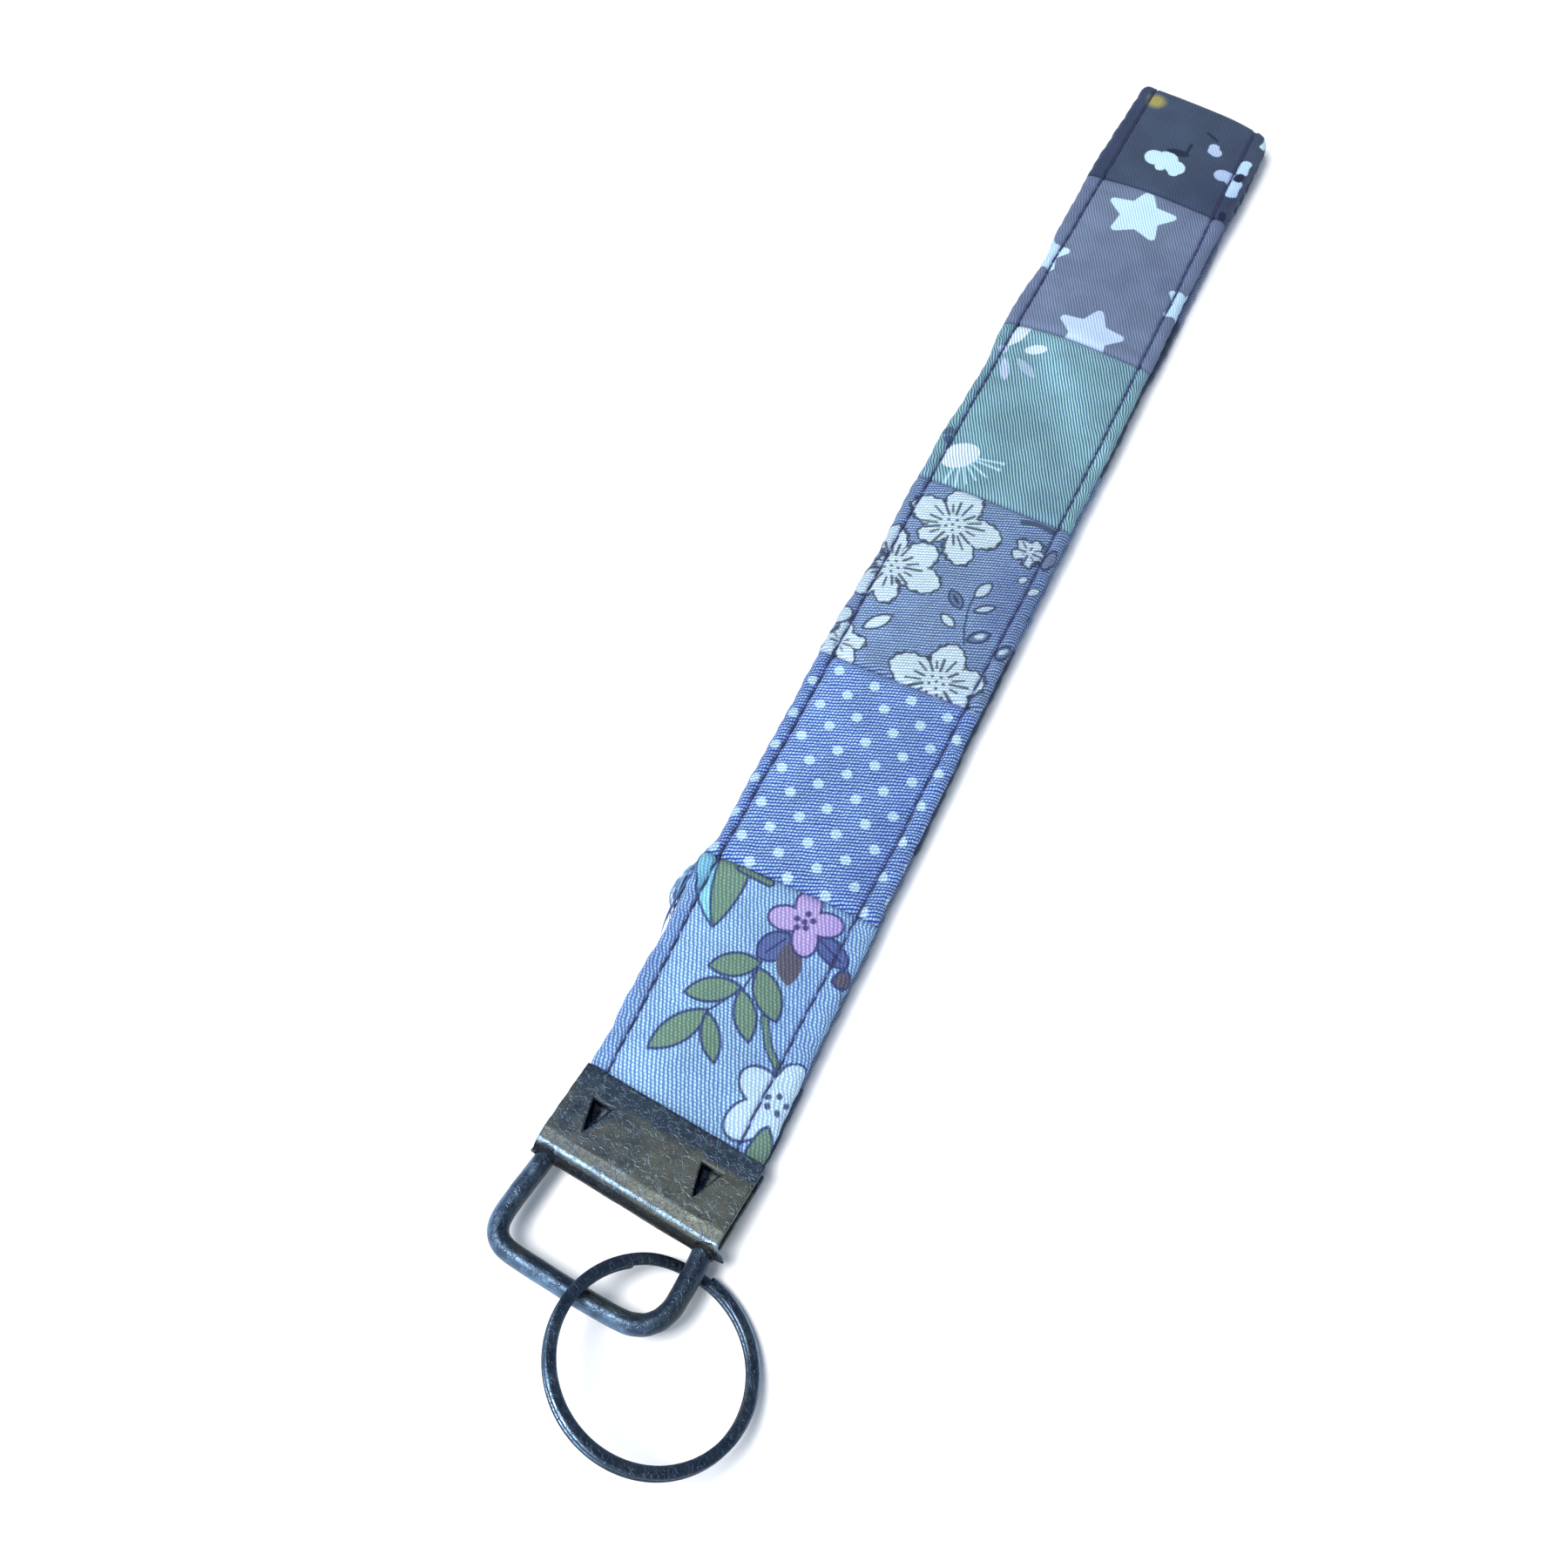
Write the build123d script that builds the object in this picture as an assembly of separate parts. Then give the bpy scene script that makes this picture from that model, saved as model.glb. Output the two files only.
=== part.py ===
"""Wristlet keychain: a folded patchwork strap, crimped in a key-fob clamp with a wire loop and a split ring.

Millimetres. +Z is up, +Y runs along the strap from the clamp to the fold, and +X is to the right.
The origin is on the surface the strap lies on, below the middle of the clamp's mouth.
"""
from build123d import *
from math import cos, radians, sin, tan
import os

# Strap: two flat layers, one on the other, joined by the fold
STRAP_WIDTH = 25.6
LAYER_THICKNESS = 2.45
LAYER_GAP = 0.3
STRAP_LENGTH = 207.0
EDGE_RADIUS = 1.1
MID_Z = LAYER_THICKNESS + LAYER_GAP / 2

# Seams between the patches of cloth, measured along each layer from the clamp
UPPER_SEAMS = (33.9, 70.6, 106.1, 143.6, 182.0)
LOWER_SEAMS = (10.5, 47.5, 84.5, 121.0, 158.0, 194.5)

# Bend lines: each layer bends at the clamp's mouth, half way, and at the fold
FOLD_PIVOT_Y = 200.0
MID_PIVOT_Y = FOLD_PIVOT_Y / 2
BODY_CLEARANCE = 0.3
MOUTH_CLEARANCE = 1.2
WEDGE_ANGLE = 34.0

# Core strip inside the cloth, and the rows of thread along both edges
CORE_WIDTH = 18.0
CORE_THICKNESS = 0.9
STITCH_X = (-11.1, 10.0)
STITCH_WIDTH = 0.8
STITCH_DEPTH = 0.4
THREAD_WIDTH = 0.7
THREAD_THICKNESS = 0.35

# Crimp clamp: a sheet folded into a channel, tilted and turned a little on the end of the strap
CLAMP_WIDTH = 26.3
CLAMP_DEPTH = 12.8
CLAMP_HEIGHT = 4.7
SHEET = 0.8
CLAMP_TURN = -3.2
CLAMP_LIFT = 5.75
TOOTH_X = 8.0
TOOTH_BASE_Y = -3.45
TOOTH_LENGTH = 4.2
TOOTH_WIDTH = 2.6
TONGUE_THICKNESS = 0.6
TONGUE_ANGLE = 16.0
TONGUE_ROOT = 0.4
COLLAR_DIAMETER = 3.8
COLLAR_LENGTH = 0.5

# Wire loop: straight legs, rounded corners and two feet turned in behind the spine
WIRE_DIAMETER = 2.6
WIRE_HOLE_DIAMETER = 2.7
WIRE_WIDTH = 26.6
WIRE_OFFSET_X = 0.6
WIRE_REACH = 25.0
WIRE_CORNER = 4.1
FOOT_Y = -10.3
FOOT_LENGTH = 4.0
FOOT_BEND = 1.6

# Strap tails crushed inside the clamp
TAIL_WIDTH = 24.6
TAIL_THICKNESS = 1.35
TAIL_FROM_Y = -8.9
TAIL_TO_Y = -0.15

# Split ring: two flat turns, leaning on the wire loop
RING_DIAMETER = 25.2
RING_WIDTH = 1.65
RING_TURN = 0.8
RING_EDGE = 0.4
RING_CENTRE = (12.0, -27.15)
RING_TILT = 26.0
RING_LOW_DIRECTION = 58.0
COIL_GAP_ANGLE = 16.0
LOWER_END_ANGLE = 158.0
UPPER_END_ANGLE = 84.0
REST_CLEARANCE = 0.02

EXTRA = 5.0
PARTS = "parts"


def block(x0, x1, y0, y1, z0, z1):
    """A box between two corners."""
    size = Box(x1 - x0, y1 - y0, z1 - z0)
    return Pos((x0 + x1) / 2, (y0 + y1) / 2, (z0 + z1) / 2) * size


def along_y(profile, y0, y1):
    """An XZ profile extruded from y0 to y1."""
    return Pos(0, y0, 0) * extrude(Plane.XZ * profile, -(y1 - y0))


def mirrored(shape):
    """The same shape in the other layer."""
    return mirror(shape, Plane.XY.offset(MID_Z))


def in_layer(shape, upper):
    """A shape drawn for the upper layer, left there or put in the lower one."""
    return shape if upper else mirrored(shape)


def layer_bar(y0, y1):
    """The outside of a stretch of the upper layer, with rounded edges."""
    profile = Pos(0, MID_Z + LAYER_GAP / 2 + LAYER_THICKNESS / 2) * RectangleRounded(
        STRAP_WIDTH, LAYER_THICKNESS, EDGE_RADIUS
    )
    return along_y(profile, y0, y1)


def core_bar(y0, y1):
    """The core strip of a stretch of the upper layer."""
    middle = MID_Z + LAYER_GAP / 2 + LAYER_THICKNESS / 2
    half = CORE_WIDTH / 2
    return block(-half, half, y0, y1, middle - CORE_THICKNESS / 2, middle + CORE_THICKNESS / 2)


def stitch_channel(x, y0, y1):
    """The groove that a row of thread lies in, in the upper layer's face."""
    top = 2 * MID_Z
    return block(x - STITCH_WIDTH / 2, x + STITCH_WIDTH / 2, y0, y1, top - STITCH_DEPTH, top + EXTRA)


def thread_row(x, y0, y1):
    """One row of thread, lying in its groove below the face."""
    bottom = 2 * MID_Z - STITCH_DEPTH
    half = THREAD_WIDTH / 2
    return block(x - half, x + half, y0, y1, bottom, bottom + THREAD_THICKNESS)


def wedge(pivot_y, towards):
    """The space a layer leaves where it meets a bend line, widening away from the middle plane."""
    reach = LAYER_THICKNESS * tan(radians(WEDGE_ANGLE)) + BODY_CLEARANCE / 2
    top = 2 * MID_Z + EXTRA
    slope = tan(radians(WEDGE_ANGLE))
    low = BODY_CLEARANCE / 2
    points = [
        (pivot_y - towards * EXTRA, MID_Z),
        (pivot_y + towards * low, MID_Z),
        (pivot_y + towards * low, MID_Z + LAYER_GAP / 2),
        (pivot_y + towards * (reach + EXTRA * slope), top),
        (pivot_y - towards * EXTRA, top),
    ]
    face = make_face(Polyline([(0, y, z) for y, z in points], close=True))
    return extrude(face, STRAP_WIDTH, dir=(1, 0, 0), both=True)


def strap_piece(y0, y1, upper, cut):
    """One patch of cloth: a sleeve round the core, with a groove for each row of thread."""
    piece = layer_bar(y0, y1) - core_bar(y0 - EXTRA, y1 + EXTRA)
    for x in STITCH_X:
        piece = piece - stitch_channel(x, y0 - EXTRA, y1 + EXTRA)
    return in_layer(piece - cut, upper)


def strap_core(y0, y1, upper, cut):
    """The core of one body's stretch of a layer."""
    return in_layer(core_bar(y0, y1) - cut, upper)


def strap_threads(y0, y1, upper, cut):
    """Both rows of thread on one body's stretch of a layer."""
    return [in_layer(thread_row(x, y0, y1) - cut, upper) for x in STITCH_X]


def stretches():
    """Each body's stretch of strap: its name, its layer, where it starts and ends, and its wedge."""
    half = BODY_CLEARANCE / 2
    near = (MOUTH_CLEARANCE, MID_PIVOT_Y - half)
    far = (MID_PIVOT_Y + half, FOLD_PIVOT_Y - half)
    near_cut = wedge(MOUTH_CLEARANCE, 1)
    far_cut = wedge(FOLD_PIVOT_Y, -1)
    return [
        ("upper_near", True, near, near_cut),
        ("upper_far", True, far, far_cut),
        ("lower_far", False, far, far_cut),
        ("lower_near", False, near, near_cut),
    ]


def patches_in(name, upper, span, cut):
    """The patches of one stretch, cut at the seams, each under its own name."""
    seams = UPPER_SEAMS if upper else LOWER_SEAMS
    inside = [seam for seam in seams if span[0] < seam < span[1]]
    ends = [span[0], *inside, span[1]]
    pieces = {}
    for y0, y1 in zip(ends, ends[1:]):
        number = patch_number((y0 + y1) / 2, upper)
        pieces[f"patch_{number:02d}_{name}"] = strap_piece(y0, y1, upper, cut)
    return pieces


def patch_number(y, upper):
    """Patches are counted from the clamp, along the upper layer, round the fold and back below."""
    if upper:
        return 1 + sum(seam < y for seam in UPPER_SEAMS)
    return 1 + len(UPPER_SEAMS) + sum(seam > y for seam in LOWER_SEAMS)


def fold_bend(outer, inner, x0, x1):
    """A strip bent round the fold, between two radii about the middle plane."""
    bend_y = STRAP_LENGTH - MID_Z
    start_y = FOLD_PIVOT_Y + BODY_CLEARANCE / 2
    filled = []
    for radius in (outer, inner):
        bar = block(x0, x1, start_y, bend_y, MID_Z - radius, MID_Z + radius)
        turn = Pos((x0 + x1) / 2, bend_y, MID_Z) * Rot(0, 90, 0) * Cylinder(radius, x1 - x0)
        filled.append(bar + turn)
    return filled[0] - filled[1]


def fold_pieces():
    """The patch that wraps the fold, its core and its two rows of thread."""
    half = STRAP_WIDTH / 2
    inner = LAYER_GAP / 2
    middle = inner + LAYER_THICKNESS / 2
    half_core = CORE_THICKNESS / 2
    core = fold_bend(middle + half_core, middle - half_core, -CORE_WIDTH / 2, CORE_WIDTH / 2)
    cloth = fold_bend(MID_Z, inner, -half, half) - core
    threads = []
    for x in STITCH_X:
        floor = MID_Z - STITCH_DEPTH
        cloth = cloth - fold_bend(MID_Z + EXTRA, floor, x - STITCH_WIDTH / 2, x + STITCH_WIDTH / 2)
        thread = fold_bend(floor + THREAD_THICKNESS, floor, x - THREAD_WIDTH / 2, x + THREAD_WIDTH / 2)
        threads.append(thread)
    return cloth, core, threads


def hardware(shape):
    """From the clamp's own frame, with its mouth at the origin, to its place on the strap."""
    return Pos(0, 0, MID_Z) * Rot(0, 0, CLAMP_TURN) * Rot(-CLAMP_LIFT, 0, 0) * shape


def channel(half_height, back_y, width):
    """A bar with a rounded back, open towards +Y: the clamp's outside or its inside."""
    bend_y = back_y + half_height
    bar = block(-width / 2, width / 2, bend_y, EXTRA, -half_height, half_height)
    back = Pos(0, bend_y, 0) * Rot(0, 90, 0) * Cylinder(half_height, width)
    return bar + back


def tooth_outline(root):
    """A tooth's triangle, pointing at the spine, with its base moved back by its root."""
    half = TOOTH_WIDTH / 2
    return Polygon((-half, root), (half, root), (0, -TOOTH_LENGTH), align=None)


def tongue(x):
    """A tooth's metal, bent down into the cloth from its base."""
    flat = extrude(tooth_outline(TONGUE_ROOT), TONGUE_THICKNESS, dir=(0, 0, -1))
    bent = Rot(TONGUE_ANGLE, 0, 0) * flat
    under_sheet = CLAMP_HEIGHT / 2 - SHEET
    return Pos(x, TOOTH_BASE_Y, under_sheet + TONGUE_THICKNESS / 2) * bent


def wire_axis_x(side):
    """The line of one leg of the wire loop."""
    return WIRE_OFFSET_X + side * (WIRE_WIDTH - WIRE_DIAMETER) / 2


def crimp_clamp():
    """The folded sheet, with its two teeth, its wire holes and a raised collar round each hole."""
    outside = channel(CLAMP_HEIGHT / 2, -CLAMP_DEPTH, CLAMP_WIDTH)
    inside = channel(CLAMP_HEIGHT / 2 - SHEET, SHEET - CLAMP_DEPTH, CLAMP_WIDTH + EXTRA)
    mouth = block(-CLAMP_WIDTH, CLAMP_WIDTH, 0, 2 * EXTRA, -EXTRA, EXTRA)
    shell = outside - inside - mouth
    for side in (-1, 1):
        window = extrude(tooth_outline(0), CLAMP_HEIGHT, dir=(0, 0, 1))
        shell = shell - Pos(side * TOOTH_X, TOOTH_BASE_Y, 0) * window
        shell = shell + tongue(side * TOOTH_X)
    collar_front = -CLAMP_DEPTH - COLLAR_LENGTH
    collar_back = SHEET - CLAMP_DEPTH
    for side in (-1, 1):
        place = Pos(wire_axis_x(side), (collar_front + collar_back) / 2, 0) * Rot(90, 0, 0)
        shell = shell + place * Cylinder(COLLAR_DIAMETER / 2, collar_back - collar_front)
        shell = shell - place * Cylinder(WIRE_HOLE_DIAMETER / 2, 2 * EXTRA)
    return hardware(shell)


def wire_loop():
    """The rod: foot, leg, corner, bar, corner, leg and foot."""
    left = wire_axis_x(-1)
    right = wire_axis_x(1)
    bar_y = WIRE_DIAMETER / 2 - WIRE_REACH
    points = [
        (left + FOOT_LENGTH, FOOT_Y),
        (left, FOOT_Y),
        (left, bar_y),
        (right, bar_y),
        (right, FOOT_Y),
        (right - FOOT_LENGTH, FOOT_Y),
    ]
    path = FilletPolyline(*points, radius=(FOOT_BEND, WIRE_CORNER, WIRE_CORNER, FOOT_BEND))
    section = Plane(origin=path @ 0, z_dir=path % 0) * Circle(WIRE_DIAMETER / 2)
    return hardware(sweep(section, path=path))


def strap_tail(upper):
    """One crushed end of the strap, with room for the wire's feet and the teeth."""
    side = 1 if upper else -1
    z0 = 0.05 * side
    z1 = z0 + TAIL_THICKNESS * side
    half = TAIL_WIDTH / 2
    tail = block(-half, half, TAIL_FROM_Y, TAIL_TO_Y, min(z0, z1), max(z0, z1))
    if upper:
        for tooth_side in (-1, 1):
            tail = tail - tongue(tooth_side * TOOTH_X)
    return hardware(tail)


def ring_sector(start, sweep_angle, side):
    """A stretch of one flat turn of the split ring: the upper turn for side 1, the lower for side -1."""
    both = RectangleRounded(RING_WIDTH, 2 * RING_TURN, RING_EDGE)
    half = Pos(0, side * RING_TURN / 2) * Rectangle(RING_WIDTH, RING_TURN)
    mean_radius = (RING_DIAMETER - RING_WIDTH) / 2
    profile = Pos(mean_radius, 0, 0) * Rot(90, 0, 0) * (both & half)
    return Rot(0, 0, start) * revolve(profile, Axis.Z, sweep_angle)


def split_ring():
    """Two turns of flat wire. Each has one free end, and they cross between the two ends."""
    turn = 360.0 - COIL_GAP_ANGLE
    lower = ring_sector(LOWER_END_ANGLE, turn, -1)
    upper = ring_sector(UPPER_END_ANGLE - turn, turn, 1)
    tilt = radians(RING_TILT)
    low_edge = (RING_DIAMETER / 2 - RING_EDGE) * sin(tilt) + (RING_TURN - RING_EDGE) * cos(tilt)
    height = low_edge + RING_EDGE + REST_CLEARANCE
    place = Pos(*RING_CENTRE, height) * Rot(0, 0, RING_LOW_DIRECTION) * Rot(0, RING_TILT, 0)
    return place * Rot(0, 0, -RING_LOW_DIRECTION) * (lower + upper)


def write(name, shapes):
    """Write one node's STEP."""
    group = shapes if isinstance(shapes, list) else [shapes]
    solids = [solid for shape in group for solid in shape.solids()]
    shape = solids[0] if len(solids) == 1 else Compound(children=solids)
    shape.label = name
    export_step(shape, f"{PARTS}/{name}.step")


def main():
    os.makedirs(PARTS, exist_ok=True)
    for name, upper, span, cut in stretches():
        for patch_name, patch in patches_in(name, upper, span, cut).items():
            write(patch_name, patch)
        write(f"core_{name}", strap_core(*span, upper, cut))
        write(f"topstitch_{name}", strap_threads(*span, upper, cut))
    cloth, core, threads = fold_pieces()
    write("patch_06_fold_end", cloth)
    write("core_fold_end", core)
    write("topstitch_fold_end", threads)
    write("strap_tail_upper", strap_tail(True))
    write("strap_tail_lower", strap_tail(False))
    write("crimp_clamp", crimp_clamp())
    write("wire_loop", wire_loop())
    write("split_ring", split_ring())


main()
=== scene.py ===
"""Wristlet keychain: the looks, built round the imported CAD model.

Shapes are worked out in millimetres in the CAD model's frame and made into meshes in metres:
+Y runs along the strap from the clamp to the fold, +X is to the right and +Z is up.
"""

import math

import bpy
import numpy as np
from mathutils import Matrix, Vector


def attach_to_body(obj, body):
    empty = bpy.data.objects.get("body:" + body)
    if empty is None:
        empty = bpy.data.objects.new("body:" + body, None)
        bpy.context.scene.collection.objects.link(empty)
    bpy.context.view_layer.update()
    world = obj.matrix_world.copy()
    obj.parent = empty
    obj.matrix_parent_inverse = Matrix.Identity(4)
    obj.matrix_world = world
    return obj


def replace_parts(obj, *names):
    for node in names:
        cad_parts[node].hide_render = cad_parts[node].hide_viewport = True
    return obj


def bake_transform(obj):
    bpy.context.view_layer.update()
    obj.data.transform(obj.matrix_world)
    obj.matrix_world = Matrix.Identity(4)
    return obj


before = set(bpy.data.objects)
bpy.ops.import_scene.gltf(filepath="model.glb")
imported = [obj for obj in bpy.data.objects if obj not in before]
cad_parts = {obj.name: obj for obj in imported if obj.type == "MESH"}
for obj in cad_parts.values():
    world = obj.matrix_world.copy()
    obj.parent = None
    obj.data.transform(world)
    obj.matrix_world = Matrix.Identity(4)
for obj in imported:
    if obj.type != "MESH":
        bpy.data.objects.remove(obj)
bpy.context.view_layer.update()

MM = 0.001

# Strap, as in the CAD model: two layers, one on the other
LAYER_THICKNESS = 2.45
MID_Z = 2.6
CENTRE_HEIGHT = MID_Z - LAYER_THICKNESS / 2  # from the middle plane to the middle of a layer
FOLD_APEX = 209.4  # furthest point of the fold, at its left corner
FOLD_CUT_Y = 203.0  # where the fold's patch is cut on the lower layer
FOLD_MIRROR_Y = 206.4  # past it, the outline of the strap comes back as it went

# Clamp and wire loop, as in the CAD model, and the ring, which is a little wider and thinner than there
CLAMP_TURN = -3.2  # degrees
CLAMP_LIFT = 5.75
CLAMP_WIDTH = 26.3
CLAMP_DEPTH = 12.8
CLAMP_HEIGHT = 4.7
TOOTH_X = 8.0
TOOTH_BASE_Y = -3.45
TOOTH_LENGTH = 4.2
TOOTH_WIDTH = 2.6
WIRE_DIAMETER = 2.6
RING_DIAMETER = 26.0
RING_WIDTH = 1.55
RING_TURN = 0.8  # thickness of one turn
RING_CENTRE = (11.9, -27.0, 6.128)
RING_TILT = 24.5  # degrees
RING_LOW_DIRECTION = 58

# Bends: where the cloth turns from one body to the next
MOUTH_BEND = (0.0, 14.0)
MID_BEND = (60.0, 140.0)
FOLD_BEND = (192.0, FOLD_CUT_Y)
LOWER_FOLD_BEND = (2 * FOLD_CUT_Y - 194.5, 194.5)


# ---------------------------------------------------------------- meshes


def store(mesh, values):
    """Keep floats or colours at the points of a mesh, for its material to read."""
    for key, data in values.items():
        data = np.asarray(data, np.float32)
        kind, field = ("FLOAT_COLOR", "color") if data.ndim == 2 else ("FLOAT", "value")
        mesh.attributes.new(key, kind, "POINT").data.foreach_set(field, data.ravel())


def mesh_object(name, points, faces, material, fabric=None, values=None):
    """A smooth-shaded object from points in mm.

    fabric is a UV per face corner, and values are floats or colours per point."""
    mesh = bpy.data.meshes.new(name)
    mesh.from_pydata((np.asarray(points) * MM).tolist(), [], faces)
    store(mesh, values or {})
    if fabric is not None:
        layer = mesh.uv_layers.new(name="fabric")
        layer.data.foreach_set("uv", np.asarray(fabric, np.float32).ravel())
    mesh.shade_smooth()
    mesh.materials.append(material)
    obj = bpy.data.objects.new(name, mesh)
    bpy.context.scene.collection.objects.link(obj)
    return obj


def sweep(path, section, scale):
    """Points and faces of a section (across, up), scaled and carried along an open path, with flat ends."""
    rows, count = len(path), len(section)
    tangent = np.gradient(path, axis=0)
    tangent /= np.linalg.norm(tangent, axis=1)[:, None]
    across = np.cross(tangent, [0.0, 0.0, 1.0])
    across /= np.linalg.norm(across, axis=1)[:, None]
    up = np.cross(across, tangent)
    wide, high = (section[None, :, axis, None] * scale[:, None, None] for axis in (0, 1))
    points = path[:, None, :] + across[:, None, :] * wide + up[:, None, :] * high
    faces = []
    for row in range(rows - 1):
        here, there = row * count, (row + 1) * count
        for k in range(count):
            after = (k + 1) % count
            faces.append((here + k, here + after, there + after, there + k))
    faces.append(tuple(range(count))[::-1])
    faces.append(tuple((rows - 1) * count + k for k in range(count)))
    return points.reshape(-1, 3), faces


def circle(radius, count):
    turn = np.arange(count) * 2 * np.pi / count
    return np.stack([np.cos(turn), np.sin(turn)], 1) * radius


def merged(parts):
    """One set of points and faces out of several."""
    points, faces, start = [], [], 0
    for part_points, part_faces in parts:
        points.append(part_points)
        faces += [tuple(k + start for k in face) for face in part_faces]
        start += len(part_points)
    return np.concatenate(points), faces


def ripple(x, y, seed, wavelengths):
    """Smooth repeatable unevenness, about -1 to 1: waves in random directions, of each wavelength in mm."""
    source = np.random.default_rng(seed)
    total = np.zeros(np.broadcast(x, y).shape)
    for wavelength in wavelengths:
        for _ in range(3):
            turn, phase = source.uniform(0, 2 * np.pi, 2)
            step = 2 * np.pi / (wavelength * source.uniform(0.8, 1.25))
            total = total + np.sin(step * (x * np.cos(turn) + y * np.sin(turn)) + phase)
    return total / (1.7 * np.sqrt(3 * len(wavelengths)))


def smoothstep(low, high, x):
    t = np.clip((x - low) / (high - low), 0, 1)
    return t * t * (3 - 2 * t)


def spread(gap, width):
    """1 where the gap is nothing, falling away on both sides over about the width."""
    return np.exp(-((gap / width) ** 2))


def smoothed(values, window):
    """Evenly spaced values with their corners rounded off over the window."""
    kernel = np.hanning(window)
    padded = np.pad(values, window // 2, mode="edge")
    return np.convolve(padded, kernel / kernel.sum(), "valid")


# ---------------------------------------------------------------- prints
# A print is a list of shapes on the cloth, in mm across and along the strap. Each has a signed distance,
# a colour for its inside and the half width of its outline.

OUTLINE = 0.17


def disc(x, y, radius):
    return lambda u, v: np.hypot(u - x, v - y) - radius


def oval(x, y, half_length, half_width, turn):
    c, s = math.cos(math.radians(turn)), math.sin(math.radians(turn))

    def distance(u, v):
        a = ((u - x) * c + (v - y) * s) / half_length
        b = ((v - y) * c - (u - x) * s) / half_width
        size = np.hypot(a, b)
        slope = np.hypot(a / half_length, b / half_width)
        return size * (size - 1) / np.maximum(slope, 1e-6)

    return distance


def leaf(base, tip, half_width):
    """A pointed leaf: what two equal circles share."""
    length = math.dist(base, tip)
    radius = (length**2 / 4 + half_width**2) / (2 * half_width)
    along = ((tip[0] - base[0]) / length, (tip[1] - base[1]) / length)

    def distance(u, v):
        s = (u - base[0]) * along[0] + (v - base[1]) * along[1] - length / 2
        t = np.abs((v - base[1]) * along[0] - (u - base[0]) * along[1])
        body = np.hypot(s, t + radius - half_width) - radius
        point = np.hypot(np.abs(s) - length / 2, t)
        beyond = (np.abs(s) - length / 2) * (radius - half_width) > t * length / 2
        return np.where(beyond, point, body)

    return distance


def stroke(points, half_width):
    """A line of even width through the points."""

    def distance(u, v):
        best = np.full(np.shape(u), np.inf)
        for (x0, y0), (x1, y1) in zip(points, points[1:]):
            length = (x1 - x0) ** 2 + (y1 - y0) ** 2
            t = np.clip(((u - x0) * (x1 - x0) + (v - y0) * (y1 - y0)) / length, 0, 1)
            best = np.minimum(best, np.hypot(u - x0 - t * (x1 - x0), v - y0 - t * (y1 - y0)))
        return best - half_width

    return distance


def star(x, y, radius, turn, rounding=0.5):
    """A five-pointed star with rounded points."""
    step = 2 * math.pi / 5
    outer, inner = radius - rounding, (radius - rounding) * 0.5

    def distance(u, v):
        angle = np.arctan2(v - y, u - x) - math.radians(turn)
        folded = np.abs((angle + step / 2) % step - step / 2)
        size = np.hypot(u - x, v - y)
        a, b = size * np.cos(folded), size * np.sin(folded)
        edge = (inner * math.cos(step / 2) - outer, inner * math.sin(step / 2))
        t = np.clip(((a - outer) * edge[0] + b * edge[1]) / (edge[0] ** 2 + edge[1] ** 2), 0, 1)
        away = np.hypot(a - outer - t * edge[0], b - t * edge[1])
        inside = (a - outer) * edge[1] - b * edge[0] < 0
        return np.where(inside, -away, away) - rounding

    return distance


def joined(*distances):
    """One shape out of several that run into each other."""
    return lambda u, v: np.minimum.reduce([distance(u, v) for distance in distances])


def flower(x, y, petals, heart):
    """Petals round a flower's heart, as one shape. A petal is its direction in degrees, reach and radius."""
    parts = [disc(x, y, heart)]
    for turn, reach, radius in petals:
        a = math.radians(turn)
        middle = reach - 0.3 * radius
        parts.append(oval(x + middle * math.cos(a), y + middle * math.sin(a), radius * 1.38, radius, turn))
    return joined(*parts)


def notched(distance, size=0.22, pitch=1.7):
    """The shape with an uneven edge, as a petal has."""
    step = 2 * np.pi / pitch
    return lambda u, v: distance(u, v) + size * np.sin(step * u) * np.sin(step * v / 1.2 + 1)


def rays(x, y, start, end, turns, half_width=0.2):
    """Short strokes that point away from a flower's heart, each of its own length."""
    found = []
    for k, turn in enumerate(turns):
        a = math.radians(turn + 4 * math.sin(5 * k))
        reaches = (start + 0.35 * (k % 2), end - 0.55 * (k % 3))
        ends = [(x + reach * math.cos(a), y + reach * math.sin(a)) for reach in reaches]
        found.append(stroke(ends, half_width * (1 - 0.2 * (k % 2))))
    return joined(*found)


def paint(shapes, u, v, ground):
    """A print at the points (u, v): the distance to a coloured shape, its colour, the distance to a line."""
    fill = np.full(u.shape, 9.0)
    line = np.full(u.shape, 9.0)
    colour = np.tile([*ground, 1.0], (len(u), 1))
    for distance, tint, outline in shapes:
        d = distance(u, v)
        if tint is None:
            line = np.minimum(line, d)
            continue
        nearer = (d < 0) | (d < fill)
        colour[nearer, :3] = tint
        fill = np.minimum(fill, d)
        line = np.maximum(line, -d)
        if outline:
            line = np.minimum(line, np.abs(d) - outline)
    return {"print_fill": fill, "print_line": line, "print_colour": colour}


WHITE = (0.53, 0.70, 0.75)
BLUE_WHITE = (0.47, 0.68, 0.80)
PALE = (0.38, 0.49, 0.68)
GREEN = (0.134, 0.24, 0.18)
PINK = (0.41, 0.34, 0.64)
GREY_PURPLE = (0.085, 0.125, 0.30)
BROWN = (0.095, 0.095, 0.14)
AQUA = (0.22, 0.56, 0.66)
YELLOW = (0.30, 0.27, 0.085)
SLATE = (0.038, 0.058, 0.104)


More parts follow.
